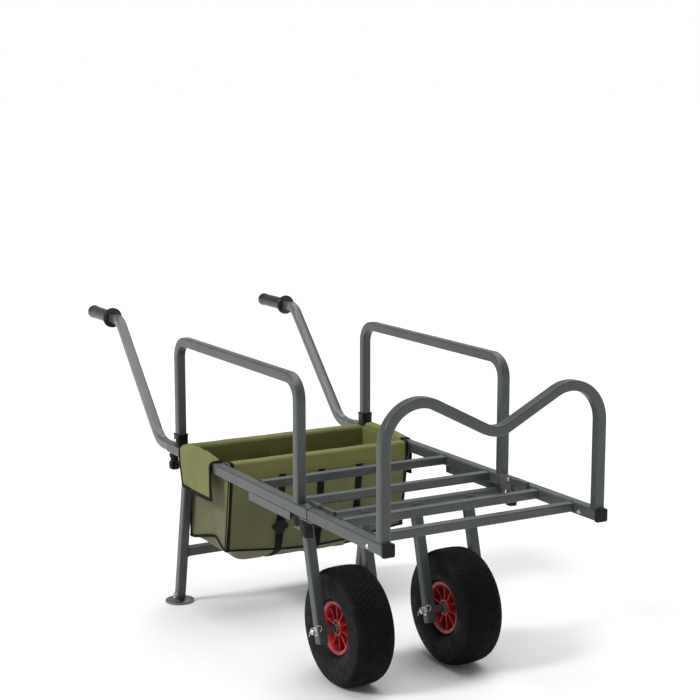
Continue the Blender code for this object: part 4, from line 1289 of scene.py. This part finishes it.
def straps():
    pieces = []
    for (name, x), loose_end, slide in zip(STRAPS, (24, 22, 24), (44, 43, 36)):
        mesh, uv = tape_mesh()
        points, outs = strap_points(x)
        ribbon(mesh, uv, points, outs, STRAP_WIDTH, STRAP_THICK)
        tail = range(14, loose_end)
        loose = [points[k] + outs[k] * (0.0024 + 0.0016 * math.sin(k * 0.8) ** 2) for k in tail]
        ribbon(mesh, uv, loose, [outs[k] for k in tail], STRAP_WIDTH * 0.96, STRAP_THICK * 0.8)
        pieces += [piece("strap_" + name, mesh, WEBBING, "frame", "bag_strap_" + name),
                   buckle(name, points[17], outs[17]), slider(name, points[slide], outs[slide])]
    return pieces


def buckle(name, spot, out):
    """Side-release buckle: body, two sprung ears and the ladder bar of its tail."""
    mesh = bmesh.new()
    rise = out.cross(ACROSS).normalized()
    if rise.z > 0:
        rise = -rise
    base = spot + out * 0.0040
    ear = ((0.0026, 0.0180, 0.0014), 0.0012, 0.0004)
    for aside, along, proud, (size, corner, bevel) in (
            (0, 0, 0, ((0.0240, 0.0270, 0.0066), 0.0045, 0.0012)),
            (0, 0.0010, 0, ((0.0420, 0.0125, 0.0062), 0.0050, 0.0014)),
            (0, -0.0140, 0, ((0.0250, 0.0060, 0.0050), 0.0022, 0.0010)),
            (0, 0.0150, 0, ((0.0230, 0.0070, 0.0050), 0.0022, 0.0010)),
            (-0.0068, 0, 0.0030, ear), (0.0068, 0, 0.0030, ear),
            (0, 0.0010, 0.0032, ((0.0090, 0.0090, 0.0014), 0.0030, 0.0005))):
        slab(mesh, base + ACROSS * aside + rise * along + out * proud, out, size, corner, bevel,
             rise)
    return piece("buckle_" + name, mesh, PLASTIC, "frame")


def slider(name, spot, out):
    """Bright three-bar slider on the strap under the bag."""
    along = out.cross(ACROSS).normalized()
    half, reach = 0.0135, 0.0075
    centre = spot + out * 0.0022
    ring = [centre + ACROSS * u + along * v for u, v in (
        (-half, -reach), (0, -reach), (half, -reach), (half, 0), (half, reach), (0, reach),
        (-half, reach), (-half, 0))]
    mesh = wire(bmesh.new(), ring, 0.0013, 8, closed=True, steps=5)
    wire(mesh, [centre - ACROSS * half, centre + out * 0.0004, centre + ACROSS * half], 0.0011, 8)
    return piece("slider_" + name, mesh, ZINC, "frame")


def bag():
    """The whole bag: body, tapes, straps, hems and flaps."""
    cloth = bag_body()
    trimmings = bag_binding() + straps()
    front_hem, front_point = hem("bag_front_hem", LAST_SLAT_Y, RAIL_TOP + 0.0018, 0.3660, 0.3800,
                                 SLAT / 2 + 0.0034)
    back_hem, back_point = hem("bag_back_hem", CROSS_TUBE_Y, CROSS_TUBE_Z + BAR / 2 + 0.0018,
                               0.3900, 0.3680, BAR / 2 + 0.0026)
    hem_trim(front_point, back_point)
    for side, sign in SIDES:
        sheet, trim = flap(side, sign)
    for soft in [cloth] + trimmings:
        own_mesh(soft)


# ------------------------------------------------------------------ CAD nodes, stage, camera
def finish_cad_nodes():
    finishes = (("axle_", ZINC), ("inner_tube", TYRE), ("fold_bracket", DULL_ZINC), ("", PAINT))
    for name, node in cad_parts.items():
        if node.hide_render:
            continue
        material = next(made for start, made in finishes if name.startswith(start))
        node.data.materials.clear()
        node.data.materials.append(material)


def floor():
    half = 150.0
    mesh = bmesh.new()
    mesh.faces.new([mesh.verts.new((u * half, v * half, -0.0004))
                    for u, v in ((-1, -1), (1, -1), (1, 1), (-1, 1))])
    data = bpy.data.meshes.new("floor")
    mesh.to_mesh(data)
    mesh.free()
    finish = Finish("floor", 0.8, 0.0, Specular_IOR_Level=0.1)
    finish.colour(finish.mix(finish.noise(1.5, 3), (0.80, 0.80, 0.80), (0.83, 0.83, 0.83)))
    data.materials.append(finish.made)
    made = bpy.data.objects.new("floor", data)
    bpy.context.scene.collection.objects.link(made)


def lights():
    """A white sky that dims above the horizon, and three suns."""
    world = bpy.data.worlds.new("studio")
    world.use_nodes = True
    tree = world.node_tree
    direction = tree.nodes.new("ShaderNodeTexCoord")
    split = tree.nodes.new("ShaderNodeSeparateXYZ")
    band = tree.nodes.new("ShaderNodeMapRange")
    tree.links.new(direction.outputs["Generated"], split.inputs[0])
    tree.links.new(split.outputs["Z"], band.inputs["Value"])
    for socket, value in (("From Min", 0.07), ("From Max", 0.16), ("To Min", 1.0),
                          ("To Max", 0.36)):
        band.inputs[socket].default_value = value
    sky = tree.nodes["Background"]
    sky.inputs["Color"].default_value = (1.0, 1.0, 1.0, 1)
    tree.links.new(band.outputs[0], sky.inputs["Strength"])
    bpy.context.scene.world = world
    for name, toward, strength, degrees in (
            ("key", (-0.80, 0.02, 0.58), 2.2, 16), ("top", (0.10, -0.10, 1.0), 1.7, 50),
            ("fill", (0.70, 0.45, 0.80), 0.6, 40)):
        data = bpy.data.lights.new(name, "SUN")
        data.energy = strength
        data.angle = math.radians(degrees)
        light = bpy.data.objects.new(name, data)
        light.rotation_euler = (-Vector(toward)).to_track_quat("-Z", "Y").to_euler()
        bpy.context.scene.collection.objects.link(light)


def camera():
    data = bpy.data.cameras.new("camera")
    data.sensor_width = 36
    data.lens = 82.0
    data.clip_end = 100
    view = bpy.data.objects.new("camera", data)
    yaw, pitch = math.radians(29.735), math.radians(9.40)
    view.location = (-1.799, -3.329, 1.275)
    look = Vector((math.sin(yaw) * math.cos(pitch), math.cos(yaw) * math.cos(pitch),
                   -math.sin(pitch)))
    view.rotation_euler = look.to_track_quat("-Z", "Y").to_euler()
    bpy.context.scene.collection.objects.link(view)
    bpy.context.scene.camera = view
    bpy.context.scene.view_settings.view_transform = "Standard"


def both_sides(*makers):
    for make in makers:
        for side, sign in SIDES:
            make(side, sign)


camera()
floor()
lights()
guard()
both_sides(side_tubes, grip)
for side, sign in SIDES:
    star_knob("handle", side)
    star_knob("fold", side)
both_sides(end_cap, rail_plugs, collar, deck_bolt)
welds()
both_sides(pins, foot_clamp, foot)
for make in (wheel, axle_fittings):
    for side, centre in WHEEL_MIDDLE.items():
        make(side, centre)
bag()
finish_cad_nodes()
